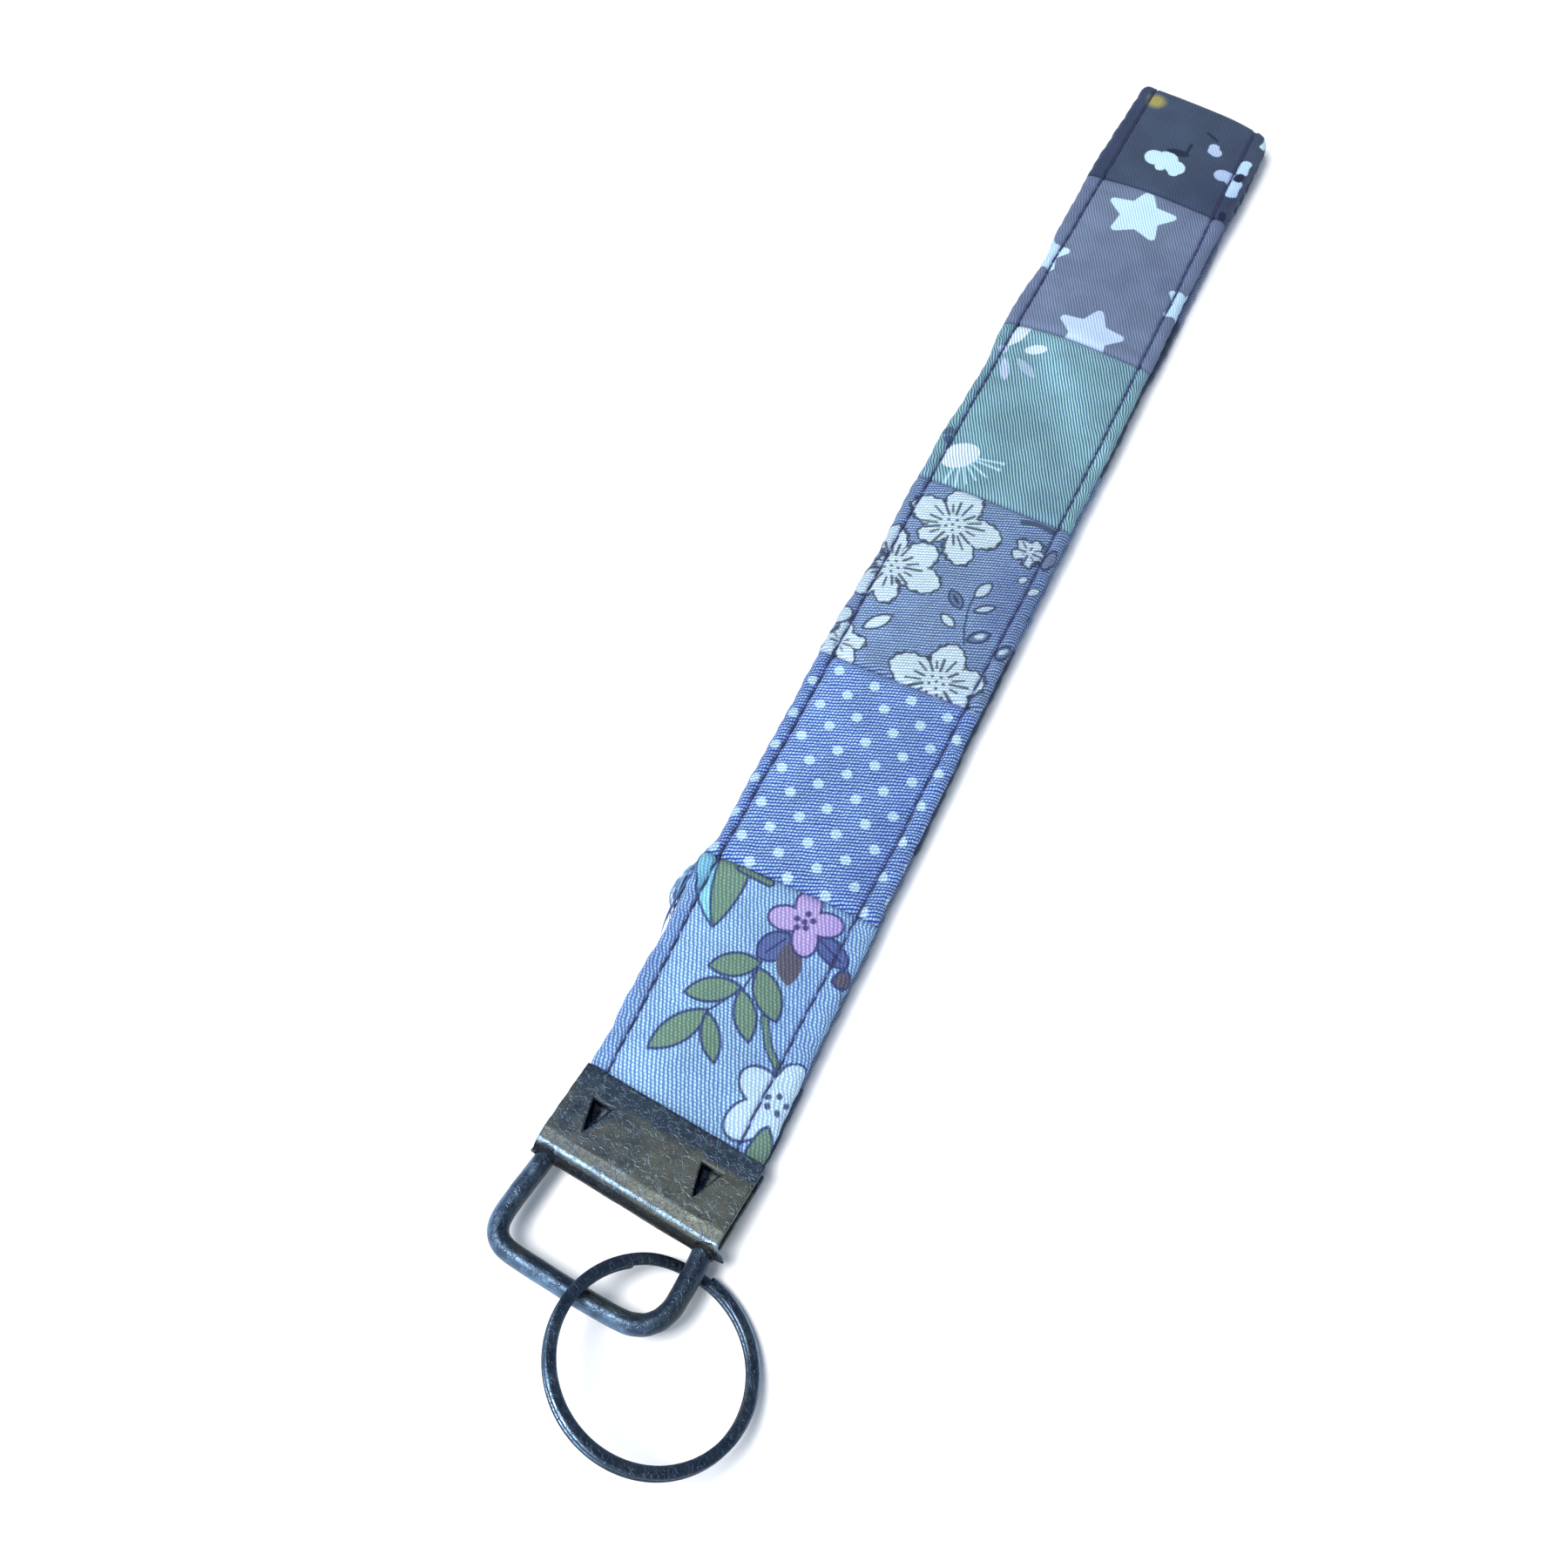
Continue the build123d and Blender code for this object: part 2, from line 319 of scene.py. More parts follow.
def floral_print(y0):
    """Large sprig, a pink flower and a white one, outlined in navy. y0 is the patch's near end."""
    at = lambda x, y: (x, y + y0)
    pink_petals = ((104, 2.95, 1.8), (17, 3.3, 1.75), (193, 3.1, 1.8), (294, 3.0, 1.75))
    white_petals = ((159, 3.7, 2.35), (78, 3.6, 2.3), (5, 3.4, 2.3), (300, 3.4, 2.4), (231, 4.7, 2.4))
    shapes = [
        (leaf(at(-14.5, 36.0), at(-7.1, 24.4), 1.75), AQUA, OUTLINE),
        (leaf(at(-9.6, 42.0), at(-7.1, 24.4), 2.3), GREEN, OUTLINE),
        (stroke([at(-7.5, 33.8), at(-3.1, 33.45)], 0.6), GREEN, OUTLINE),
        (leaf(at(2.9, 27.9), at(0.2, 23.2), 1.95), GREY_PURPLE, OUTLINE),
        (stroke([at(2.4, 27.2), at(0.9, 24.3)], 0.12), None, 0),
        (leaf(at(5.7, 29.4), at(11.8, 26.9), 1.5), GREY_PURPLE, OUTLINE),
        (stroke([at(6.6, 29.0), at(10.8, 27.3)], 0.12), None, 0),
        (leaf(at(3.2, 27.2), at(5.5, 21.3), 1.7), BROWN, 0),
        (disc(*at(11.9, 25.2), 1.3), BROWN, OUTLINE),
        (stroke([at(12.4, 23.8), at(13.2, 22.2)], 0.15), None, 0),
        (flower(*at(3.7, 30.4), pink_petals, 1.9), PINK, OUTLINE),
        (stroke([at(1.0, 22.8), at(0.5, 18.4), at(-2.5, 13.4)], 0.14), None, 0),
        (stroke([at(1.1, 22.0), at(2.6, 18.6), at(4.9, 16.0)], 0.14), None, 0),
        (stroke([at(4.8, 16.1), at(6.9, 12.9), at(9.5, 10.7)], 0.45), GREEN, 0.12),
        (leaf(at(1.0, 22.6), at(-5.0, 19.3), 1.65), GREEN, OUTLINE),
        (leaf(at(1.0, 21.9), at(6.4, 16.3), 1.75), GREEN, OUTLINE),
        (leaf(at(0.2, 18.5), at(-6.2, 14.7), 1.65), GREEN, OUTLINE),
        (leaf(at(0.3, 18.3), at(4.4, 12.3), 1.45), GREEN, OUTLINE),
        (leaf(at(-2.3, 13.9), at(-6.9, 6.0), 1.8), GREEN, OUTLINE),
        (leaf(at(-2.3, 13.6), at(1.7, 7.9), 1.25), GREEN, OUTLINE),
        (flower(*at(11.3, 6.6), white_petals, 2.4), BLUE_WHITE, OUTLINE),
        (leaf(at(11.7, 3.7), at(12.4, -3.5), 1.75), GREEN, OUTLINE),
    ]
    hearts = [(3.6, 31.6), (4.6, 31.0), (2.5, 30.4), (3.6, 30.4), (4.1, 29.7), (3.0, 29.3)]
    hearts += [(11.2, 7.7), (12.6, 7.0), (9.9, 7.0), (10.5, 5.9), (12.0, 5.6)]
    shapes += [(disc(*at(x, y), 0.42), None, 0) for x, y in hearts]
    return shapes


def dots_print(y0, pitch=5.72, row_pitch=2.98, radius=0.76):
    """White dots in staggered rows."""
    shapes = []
    for row in range(14):
        shift = -18.42 + 0.08 * row + (pitch / 2 if row % 2 else 0)
        for column in range(8):
            wobble = 0.12 * math.sin(5 * row + 3 * column)
            dot = disc(shift + pitch * column, y0 + 0.8 + row_pitch * row + wobble, radius)
            shapes.append((notched(dot, 0.08, 1.1), (0.50, 0.75, 0.82), 0))
    return shapes


def blossom_print(y0):
    """Large white flowers with dark rays, small leaves and a thin stem."""
    at = lambda x, y: (x, y + y0)
    leaf_line = (0.06, 0.095, 0.17)
    blank = (0.12, 0.19, 0.34)
    left_petals = ((47, 5.0, 2.5), (355, 5.4, 2.55), (284, 5.0, 1.9), (244, 5.1, 2.2), (110, 5.4, 2.2))
    top_petals = ((88, 4.7, 3.0), (165, 4.8, 2.7), (0, 4.9, 2.75), (304, 5.3, 2.3), (230, 3.6, 2.0))
    near_petals = ((88, 4.3, 2.6), (174, 4.5, 2.8), (24, 4.7, 2.4), (330, 4.0, 2.4), (215, 4.0, 2.4))
    corner_petals = [(turn, 2.4, 1.45) for turn in (25, 320, 95, 180, 240)]
    small_petals = [(turn, 1.6, 1.05) for turn in (70, 142, 214, 286, 358)]
    shapes = []
    for x, y, petals, heart in (
        (-9.9, 18.2, left_petals, 2.6), (-4.6, 29.2, top_petals, 2.9), (4.4, 2.2, near_petals, 2.8),
        (-11.2, 2.2, corner_petals, 1.3), (7.9, 29.5, small_petals, 1.2),
    ):
        shapes.append((notched(flower(*at(x, y), petals, heart)), WHITE, 0.2))
    for x, y, reach in ((-9.9, 18.2, 4.6), (-4.6, 29.2, 4.9), (4.4, 2.2, 4.6)):
        shapes.append((rays(*at(x, y), 2.0, reach, range(12, 372, 20)), None, 0))
        dots = [disc(*at(x + 1.1 * math.cos(k * 1.26), y + 1.1 * math.sin(k * 1.26)), 0.24) for k in range(5)]
        shapes.append((joined(disc(*at(x, y), 0.24), *dots), None, 0))
    for x, y in ((7.9, 29.5), (-11.2, 2.2)):
        shapes.append((rays(*at(x, y), 0.6, 2.1, range(0, 360, 45), 0.17), None, 0))
    shapes += [
        (stroke([at(3.5, 19.0), at(3.6, 16.0), at(4.4, 12.4), at(5.5, 9.9)], 0.13), None, 0),
        (leaf(at(3.7, 18.2), at(5.0, 21.8), 0.9), WHITE, 0.15),
        (leaf(at(4.5, 15.8), at(7.2, 18.0), 0.6), WHITE, OUTLINE),
        (leaf(at(0.0, 17.9), at(2.6, 15.4), 0.95), blank, OUTLINE),
        (leaf(at(0.5, 17.4), at(2.1, 15.9), 0.3), None, 0),
        (leaf(at(0.4, 13.3), at(3.0, 12.0), 0.75), WHITE, 0.15),
        (leaf(at(5.6, 10.7), at(8.3, 13.2), 0.9), blank, OUTLINE),
        (leaf(at(6.3, 11.5), at(7.7, 12.7), 0.4), WHITE, 0),
        (leaf(at(-9.1, 6.0), at(-6.0, 9.9), 1.0), WHITE, OUTLINE),
        (disc(*at(-13.2, 7.0), 1.6), WHITE, OUTLINE),
        (leaf(at(8.4, 23.8), at(9.4, 25.2), 0.6), WHITE, 0.1),
        (leaf(at(10.7, 9.6), at(12.2, 12.6), 0.95), blank, OUTLINE),
        (leaf(at(11.1, 10.4), at(11.8, 12.0), 0.4), WHITE, 0),
        (leaf(at(10.7, 22.2), at(12.1, 24.0), 0.7), WHITE, 0.1),
        (leaf(at(11.0, 27.4), at(11.9, 31.6), 1.0), (0.17, 0.22, 0.33), OUTLINE),
        (stroke([at(5.0, 34.4), at(7.0, 35.0), at(9.6, 34.7)], 0.55), leaf_line, 0),
    ]
    return shapes


def leaves_print(y0):
    """Loose white leaves and half a seed head with rays."""
    at = lambda x, y: (x, y + y0)
    dull = (0.30, 0.42, 0.56)
    shapes = [
        (leaf(at(-10.9, 30.6), at(-9.2, 38.5), 1.15), WHITE, 0),
        (oval(*at(-6.4, 31.9), 1.85, 0.95, 34), WHITE, 0),
        (leaf(at(-8.6, 29.0), at(-4.2, 26.0), 0.85), dull, 0),
        (leaf(at(-10.4, 28.2), at(-8.5, 23.5), 0.75), PALE, 0),
        (disc(*at(-11.4, 29.8), 0.9), PALE, 0),
        (disc(*at(-12.8, 9.9), 0.9), (0.06, 0.12, 0.19), 0),
        (disc(*at(-11.9, 8.3), 0.9), (0.05, 0.10, 0.19), 0),
        (oval(*at(-8.9, 6.0), 3.3, 2.3, 50), WHITE, 0),
    ]
    faint = (0.36, 0.60, 0.72)
    for turn, length in ((12, 6.9), (0, 6.6), (-22, 5.8), (-40, 5.4), (-58, 5.6), (-74, 5.8), (-92, 5.6)):
        a = math.radians(turn)
        end = (-8.9 + length * math.cos(a), 5.9 + length * math.sin(a))
        shapes.append((stroke([at(-8.6, 6.0), at(*end)], 0.2), faint, 0))
        if turn >= 0:
            shapes.append((disc(*at(*end), 0.35), faint, 0))
    shapes.append((oval(*at(-8.9, 6.0), 3.3, 2.3, 50), WHITE, 0))
    return shapes


def stars_print(y0):
    """White five-pointed stars on grey."""
    at = lambda x, y: (x, y + y0)
    return [
        (star(*at(-1.6, 32.0), 6.2, 93, 0.75), BLUE_WHITE, 0),
        (star(*at(0.2, 2.0), 5.8, 90, 0.75), (0.42, 0.55, 0.76), 0),
        (star(*at(-13.9, 16.6), 4.8, 24, 0.7), BLUE_WHITE, 0),
        (star(*at(13.4, 15.0), 4.9, 152, 0.7), BLUE_WHITE, 0),
    ]


def soft_dot(x, y, radius, rim, middle):
    """A dot that fades into the ground in a few steps."""
    shapes = []
    for share in (0.15, 0.35, 0.6, 0.85, 1.0):
        tint = tuple(a + (b - a) * share for a, b in zip(rim, middle))
        shapes.append((disc(x, y, radius * (1.05 - 0.55 * share)), tint, 0))
    return shapes


def clouds_print(y0):
    """Plain rounded white clouds and a soft yellow dot, on dark slate."""
    at = lambda x, y: (x, y + y0)
    ink = (0.010, 0.017, 0.042)
    return [
        (oval(*at(-1.0, 11.5), 2.1, 0.9, 8), ink, 0),
        (stroke([at(0.4, 11.6), at(0.5, 14.6)], 0.3), ink, 0),
        (stroke([at(2.2, 18.7), at(4.3, 17.6)], 0.25), ink, 0),
        (joined(disc(*at(-4.3, 8.5), 1.85), disc(*at(-2.2, 9.0), 2.0), disc(*at(-0.2, 7.6), 1.8),
                disc(*at(-0.1, 6.2), 0.9), disc(*at(-2.7, 6.6), 0.9)), BLUE_WHITE, 0),
        (joined(disc(*at(4.4, 15.7), 0.95), disc(*at(5.1, 14.6), 1.05), disc(*at(4.4, 14.8), 0.9)), PALE, 0),
        (joined(disc(*at(8.0, 9.3), 1.5), disc(*at(9.6, 9.2), 1.5)), PALE, 0),
        (stroke([at(11.0, 11.6), at(11.1, 13.8)], 1.05), BLUE_WHITE, 0),
        (stroke([at(11.0, 5.6), at(11.1, 8.2)], 1.05), BLUE_WHITE, 0),
        (stroke([at(10.9, 9.5), at(11.2, 10.2)], 0.85), ink, 0),
        (disc(*at(11.4, -0.2), 0.8), ink, 0),
        (stroke([at(12.4, 19.8), at(12.8, 21.8)], 0.6), BLUE_WHITE, 0),
        *soft_dot(*at(-9.2, 22.8), 2.3, SLATE, YELLOW),
    ]


# ---------------------------------------------------------------- materials


class Graph:
    """The shader nodes of a material or of the world. An input is a socket, a number or an RGB triple."""

    def __init__(self, owner):
        owner.use_nodes = True
        self.owner = owner
        self.tree = owner.node_tree

    def feed(self, socket, value):
        if isinstance(value, bpy.types.NodeSocket):
            self.tree.links.new(value, socket)
        else:
            socket.default_value = (*value, 1.0) if isinstance(value, tuple) else value

    def feed_all(self, node, inputs):
        for key, value in inputs.items():
            self.feed(node.inputs[key.replace("_", " ")], value)

    def node(self, kind, **settings):
        """A new node with its inputs by name. A name that starts with an underscore is a property."""
        node = self.tree.nodes.new("ShaderNode" + kind)
        for key, value in settings.items():
            if key.startswith("_"):
                setattr(node, key[1:], value)
        self.feed_all(node, {key: value for key, value in settings.items() if not key.startswith("_")})
        return node

    def calc(self, operation, a, b=None):
        node = self.node("Math", _operation=operation)
        self.feed(node.inputs[0], a)
        if b is not None:
            self.feed(node.inputs[1], b)
        return node.outputs[0]

    def centred(self, value, size):
        """A noise of 0 to 1, made to vary about nothing."""
        return self.calc("MULTIPLY", self.calc("SUBTRACT", value, 0.5), size)

    def ramp(self, value, low, high, start=0.0, end=1.0):
        """value between low and high, carried smoothly to start and end."""
        limits = dict(Value=value, From_Min=low, From_Max=high, To_Min=start, To_Max=end)
        return self.node("MapRange", _interpolation_type="SMOOTHSTEP", **limits).outputs[0]

    def mix(self, factor, a, b, mode="MIX"):
        """A blend of two colours."""
        node = self.node("Mix", _data_type="RGBA", _blend_type=mode)
        for index, value in ((0, factor), (6, a), (7, b)):
            self.feed(node.inputs[index], value)
        return node.outputs[2]

    def noise(self, place, scale, detail, output=0, roughness=0.5):
        texture = self.node("TexNoise", Vector=place, Scale=scale, Detail=detail, Roughness=roughness)
        return texture.outputs[output]

    def stored(self, name, output="Fac"):
        """A value that the mesh holds at its points."""
        return self.node("Attribute", _attribute_name=name).outputs[output]

    def bump(self, height, strength, distance):
        """The surface's direction on relief of this height, with the distance in mm."""
        return self.node("Bump", Height=height, Strength=strength, Distance=distance * MM).outputs[0]

    def surface(self, **inputs):
        """The material, with these inputs of its surface set."""
        self.feed_all(self.tree.nodes["Principled BSDF"], inputs)
        return self.owner


BEAD_PITCH = 0.435  # length of one yarn bead on a rib
BEAD_TURN = 65  # from the ribs to the yarns' own rows, in degrees


def cloth_material(name, ground, ink, rib_turn, rib_pitch, contrast, bead):
    """Printed twill: ribs of short yarns, with the print's colours and lines on them.

    rib_turn is the direction across the ribs in degrees, and bead is how far the ribs are cut into beads."""
    graph = Graph(bpy.data.materials.new(name))
    uv = graph.node("UVMap", _uv_map="fabric").outputs[0]

    # ribs, cut into beads by the yarns' rows; both wander a little from their straight lines
    wide_wander = graph.centred(graph.noise(uv, 0.22, 2.0), rib_pitch * 0.9)
    fine_wander = graph.centred(graph.noise(uv, 1.4, 2.0), rib_pitch * (0.10 + 0.8 * bead))
    wander = graph.calc("ADD", wide_wander, fine_wander)
    waves = []
    rows = ((rib_turn, rib_pitch, -0.8, 0.6), (rib_turn + BEAD_TURN, BEAD_PITCH, -0.9, 0.5))
    for turn, pitch, low, high in rows:
        turned = graph.node("VectorRotate", _rotation_type="Z_AXIS", Vector=uv, Angle=-math.radians(turn))
        split = graph.node("SeparateXYZ", Vector=turned.outputs[0])
        angle = graph.calc("MULTIPLY", graph.calc("ADD", split.outputs[0], wander), 2 * math.pi / pitch)
        waves.append(graph.ramp(graph.calc("COSINE", angle), low, high))
    beads = graph.calc("ADD", graph.calc("MULTIPLY", waves[1], bead), 1 - bead)
    weave = graph.calc("MULTIPLY", waves[0], beads)

    # the print, with ragged edges
    pale = tuple(c * 1.07 for c in ground)
    deep = tuple(c * 0.93 for c in ground)
    cloth = graph.mix(graph.ramp(graph.noise(uv, 0.16, 3.0), 0.38, 0.62), deep, pale)
    ragged = graph.centred(graph.noise(uv, 3.5, 2.0), 0.30)
    filled = graph.ramp(graph.calc("ADD", graph.stored("print_fill"), ragged), 0.13, -0.13)
    cloth = graph.mix(filled, cloth, graph.stored("print_colour", "Color"))
    inked = graph.ramp(graph.calc("ADD", graph.stored("print_line"), ragged), 0.15, -0.10, 0.0, 0.9)
    cloth = graph.mix(inked, cloth, ink)

    # painted light and shade on the cloth, bluer where it darkens the cloth
    fading = graph.stored("fading")
    bluer = graph.calc("SUBTRACT", 1.8, graph.calc("MULTIPLY", graph.calc("MINIMUM", fading, 1.0), 0.8))
    shade = graph.node("CombineColor", Red=fading, Green=fading, Blue=graph.calc("MULTIPLY", fading, bluer))
    cloth = graph.mix(1.0, cloth, shade.outputs[0], "MULTIPLY")

    # painted shade makes the gaps between the yarns darker and bluer and a painted highlight makes the yarn
    # crowns lighter, and single yarns differ
    lift = graph.calc("ADD", weave, graph.centred(graph.noise(uv, 2.4, 3.0), 0.25 + 0.5 * bead))
    gap = (1 - contrast, 1 - contrast * 0.94, 1 - contrast * 0.62)
    lit_crown = (1 + contrast * 0.76, 1 + contrast * 0.60, 1 + contrast * 0.28)
    tone = graph.mix(graph.ramp(lift, 0.05, 0.95), gap, lit_crown)
    tone = graph.mix(graph.calc("MULTIPLY", filled, 0.4), tone, (1.0, 1.0, 1.0))
    return graph.surface(
        Base_Color=graph.mix(1.0, cloth, tone, "MULTIPLY"), Normal=graph.bump(lift, 1.0, 0.16 * contrast),
        Roughness=0.88, Specular_IOR_Level=0.2, Sheen_Weight=0.08, Sheen_Roughness=0.5,
    )


def thread_material():
    """Two-ply sewing thread: a fine twist in navy."""
    graph = Graph(bpy.data.materials.new("thread_navy"))
    place = graph.node("TexCoord").outputs["Object"]
    twist = graph.node("TexWave", Vector=place, Scale=900.0, Distortion=1.5).outputs["Fac"]
    colour = graph.mix(twist, (0.008, 0.014, 0.045), (0.028, 0.045, 0.12))
    return graph.surface(Base_Color=colour, Normal=graph.bump(twist, 0.6, 0.03), Roughness=0.6)


def fray_material(name, dark, light):
    """Loose yarn ends, lighter and darker from strand to strand."""
    graph = Graph(bpy.data.materials.new(name))
    colour = graph.mix(graph.stored("strand"), dark, light)
    twist = graph.noise(graph.node("TexCoord").outputs["Object"], 1500.0, 2.0)
    colour = graph.mix(graph.ramp(twist, 0.3, 0.7, 0.0, 0.5), colour, dark)
    return graph.surface(Base_Color=colour, Roughness=0.9)


def antique_material(name, dark, patina, worn, rough, hair):
    """Antique metal: dark plating, olive patina, felted hair scratches, worn metal colour where it is worn and
    where a highlight is painted, and painted shade in near black.
    """
    graph = Graph(bpy.data.materials.new(name))
    place = graph.node("TexCoord").outputs["Object"]

    def noise(scale, detail, output=0):
        return graph.noise(place, scale, detail, output, roughness=0.62)

    blotch = noise(330.0, 6.0)
    mottle = graph.calc("MULTIPLY", graph.stored("patina"), 0.28)
    for layer, share in ((blotch, 0.6), (noise(120.0, 3.0), 0.4)):
        mottle = graph.calc("ADD", mottle, graph.calc("MULTIPLY", layer, share))
    colour = graph.mix(graph.ramp(mottle, 0.50, 0.80), dark, patina)

    # hair scratches: the edges of warped cells, broken into short pieces
    hairs = 0.0
    scales = ((640.0, 1000.0, 800.0), (900.0, 1400.0, 1000.0), (1300.0, 1900.0, 1400.0))
    for cell, warp_scale, gate_scale in scales:
        warp = graph.node("VectorMath", _operation="SCALE", Vector=noise(warp_scale, 1.0, 1), Scale=0.9 * MM)
        moved = graph.node("VectorMath", _operation="ADD")
        graph.feed(moved.inputs[0], place)
        graph.feed(moved.inputs[1], warp.outputs[0])
        net = graph.node("TexVoronoi", _feature="DISTANCE_TO_EDGE", Vector=moved.outputs[0], Scale=cell)
        thin = graph.ramp(net.outputs["Distance"], 0.05, 0.0)
        piece = graph.calc("MULTIPLY", thin, graph.ramp(noise(gate_scale, 1.0), 0.40, 0.52))
        hairs = graph.calc("MAXIMUM", hairs, piece)
    colour = graph.mix(graph.calc("MULTIPLY", hairs, hair), colour, worn)

    # worn metal colour where the mesh asks: worn places and painted highlights
    scuff_and_light = graph.calc("ADD", graph.stored("wear"), graph.centred(blotch, 0.9))
    bare_share = graph.ramp(scuff_and_light, 0.35, 0.95)
    colour = graph.mix(bare_share, colour, worn)
    # painted shade: near black where the mesh asks for it
    colour = graph.mix(graph.stored("pit"), colour, (0.003, 0.004, 0.008))
    matt = graph.ramp(blotch, 0.3, 0.7, rough, rough + 0.16)
    height = graph.calc("SUBTRACT", graph.calc("MULTIPLY", blotch, 0.6), hairs)
    return graph.surface(
        Base_Color=colour, Metallic=1.0, Normal=graph.bump(height, 0.7, 0.04),
        Roughness=graph.calc("SUBTRACT", matt, graph.calc("MULTIPLY", bare_share, 0.12)),
    )


def floor_material():
    graph = Graph(bpy.data.materials.new("floor_paper"))
    grain = graph.noise(graph.node("TexCoord").outputs["Object"], 40.0, 3.0)
    colour = graph.mix(grain, (0.90, 0.91, 0.93), (0.94, 0.95, 0.97))
    return graph.surface(Base_Color=colour, Roughness=0.95, Specular_IOR_Level=0.1)


# ---------------------------------------------------------------- strap

# Seams of each layer from the clamp to the fold: y at mid width, slope and sag across the width
UPPER_SEAMS = [(-9.0, 0.0, 0.0), (34.3, 0.01, -0.001), (70.3, 0.02, 0.001), (106.5, -0.01, -0.001),
               (143.35, -0.01, -0.006), (181.8, -0.05, -0.0045)]
LOWER_SEAMS = [(2.4, 0.0, 0.0), (10.5, 0.02, 0.0), (47.5, -0.01, 0.001), (84.5, 0.02, -0.001),
               (121.0, 0.0, 0.001), (158.0, -0.02, 0.0), (194.5, 0.0, 0.0)]

# Outline of the strap and its two rows of stitching: y and x of some places along them
LEFT_EDGE = (
    (-12, -12.4), (-1, -12.7), (2, -12.85), (5.5, -12.5), (10, -12.8), (15, -13.05), (20, -12.9), (27, -13.0),
    (30.5, -13.4), (33.6, -13.85), (35.5, -13.0), (38, -12.7), (45, -12.9), (52, -13.0), (60, -13.0),
    (67, -13.25), (72, -13.4), (78, -13.5), (81, -13.2), (84, -13.3), (90, -12.9), (97, -13.3), (105, -13.5),
    (110, -13.4), (115, -13.65), (122, -13.2), (130, -13.1), (134, -12.8), (138, -13.35), (144, -13.7),
    (150, -13.55), (156, -13.0), (160, -12.9), (166, -13.55), (175, -13.55), (185, -13.75), (191, -13.45),
    (200, -13.05), (208, -12.8),
)
RIGHT_EDGE = (
    (-12, 11.5), (-5, 12.1), (-1.5, 12.7), (2, 12.95), (10, 12.75), (20, 12.6), (33, 12.6), (38, 12.3),
    (50, 12.4), (60, 12.25), (70, 12.1), (80, 12.15), (90, 12.1), (100, 12.1), (106, 12.3), (111, 11.95),
    (120, 12.2), (130, 12.2), (140, 12.05), (146, 12.2), (160, 11.95), (175, 12.1), (184, 12.45), (196, 12.75),
    (208, 12.6),
)
LEFT_ROW = (
    (-9, -10.1), (10, -10.2), (20, -10.6), (33, -11.1), (60, -10.9), (90, -11.3), (120, -11.4), (144, -11.3),
    (165, -11.1), (182, -10.8), (208, -10.3),
)
RIGHT_ROW = (
    (-9, 9.1), (15, 9.3), (34, 9.5), (46, 9.8), (75, 9.9), (90, 10.2), (125, 10.2), (144, 10.0), (165, 10.0),
    (182, 9.7), (208, 9.7),
)

# Spots of painted sheen (lighter) and painted shade (darker) on the cloth, with some uneven fade: x, y, half
# width, half length, turn in degrees and amount
SHEEN_SHADE_AND_FADE_SPOTS = ((-7, 14, 3.4, 15, 0, 0.09), (-12, 18, 1.1, 17, 0, -0.20), (7.5, 20, 2.6, 12, 0, -0.08),
         (-8.6, 55, 2.4, 18, 0, 0.12), (8, 50, 2.0, 22, 0, -0.12), (10.9, 55, 1.0, 18, 0, 0.10),
         (8, 93, 4.5, 12, 0, -0.17), (-7, 78, 3.5, 6, 0, 0.08),
         (1.5, 132, 2.8, 14, 40, 0.36), (11, 122, 0.9, 16, 0, 0.16), (-2, 123, 6, 6, 30, -0.05),
         (3, 163, 7, 9, 0, -0.08), (-8, 152, 3.5, 8, 0, 0.03), (2, 172, 9, 5, 0, 0.06),
         (0, 201, 6, 5, 0, 0.06), (8, 186, 5, 5, 0, -0.14), (-12.3, 196, 1.2, 16, 0, -0.22),
         (11.5, 184, 1.2, 8, 0, -0.20))

EDGE_ROUND = 1.25  # radius of the hem
MIDDLE_WIDTH = 25.5  # usual width of the strap, to count the samples across it
STITCH_PITCH = 3.0
STITCH_LENGTH = 2.96
STITCH_RADIUS = 0.17
STITCH_SLANT = 0.09
GROOVE_DEPTH = 0.45
GROOVE_WIDTH = 0.36
FLOOR_GAP = 0.01
NO_SEAM = 9.0  # gap to a seam that is too far away to matter
LOWER_PRINT_SHIFT = 6.0
CRUSHED = 0.62  # half thickness of a layer between the clamp's jaws


def along(points, y):
    """x at y, on a smooth line through the points."""
    table = np.array(points, float)
    fine = np.linspace(table[0, 0], table[-1, 0], 900)
    return np.interp(y, fine, smoothed(np.interp(fine, table[:, 0], table[:, 1]), 13))


def seam_y(seam, x):
    middle, slope, sag = seam
    return middle + slope * x + sag * x * x


def unfolded(y):
    """Where on the flat outline a place lies, if y follows the path round the fold."""
    return np.minimum(y, 2 * FOLD_MIRROR_Y - y)


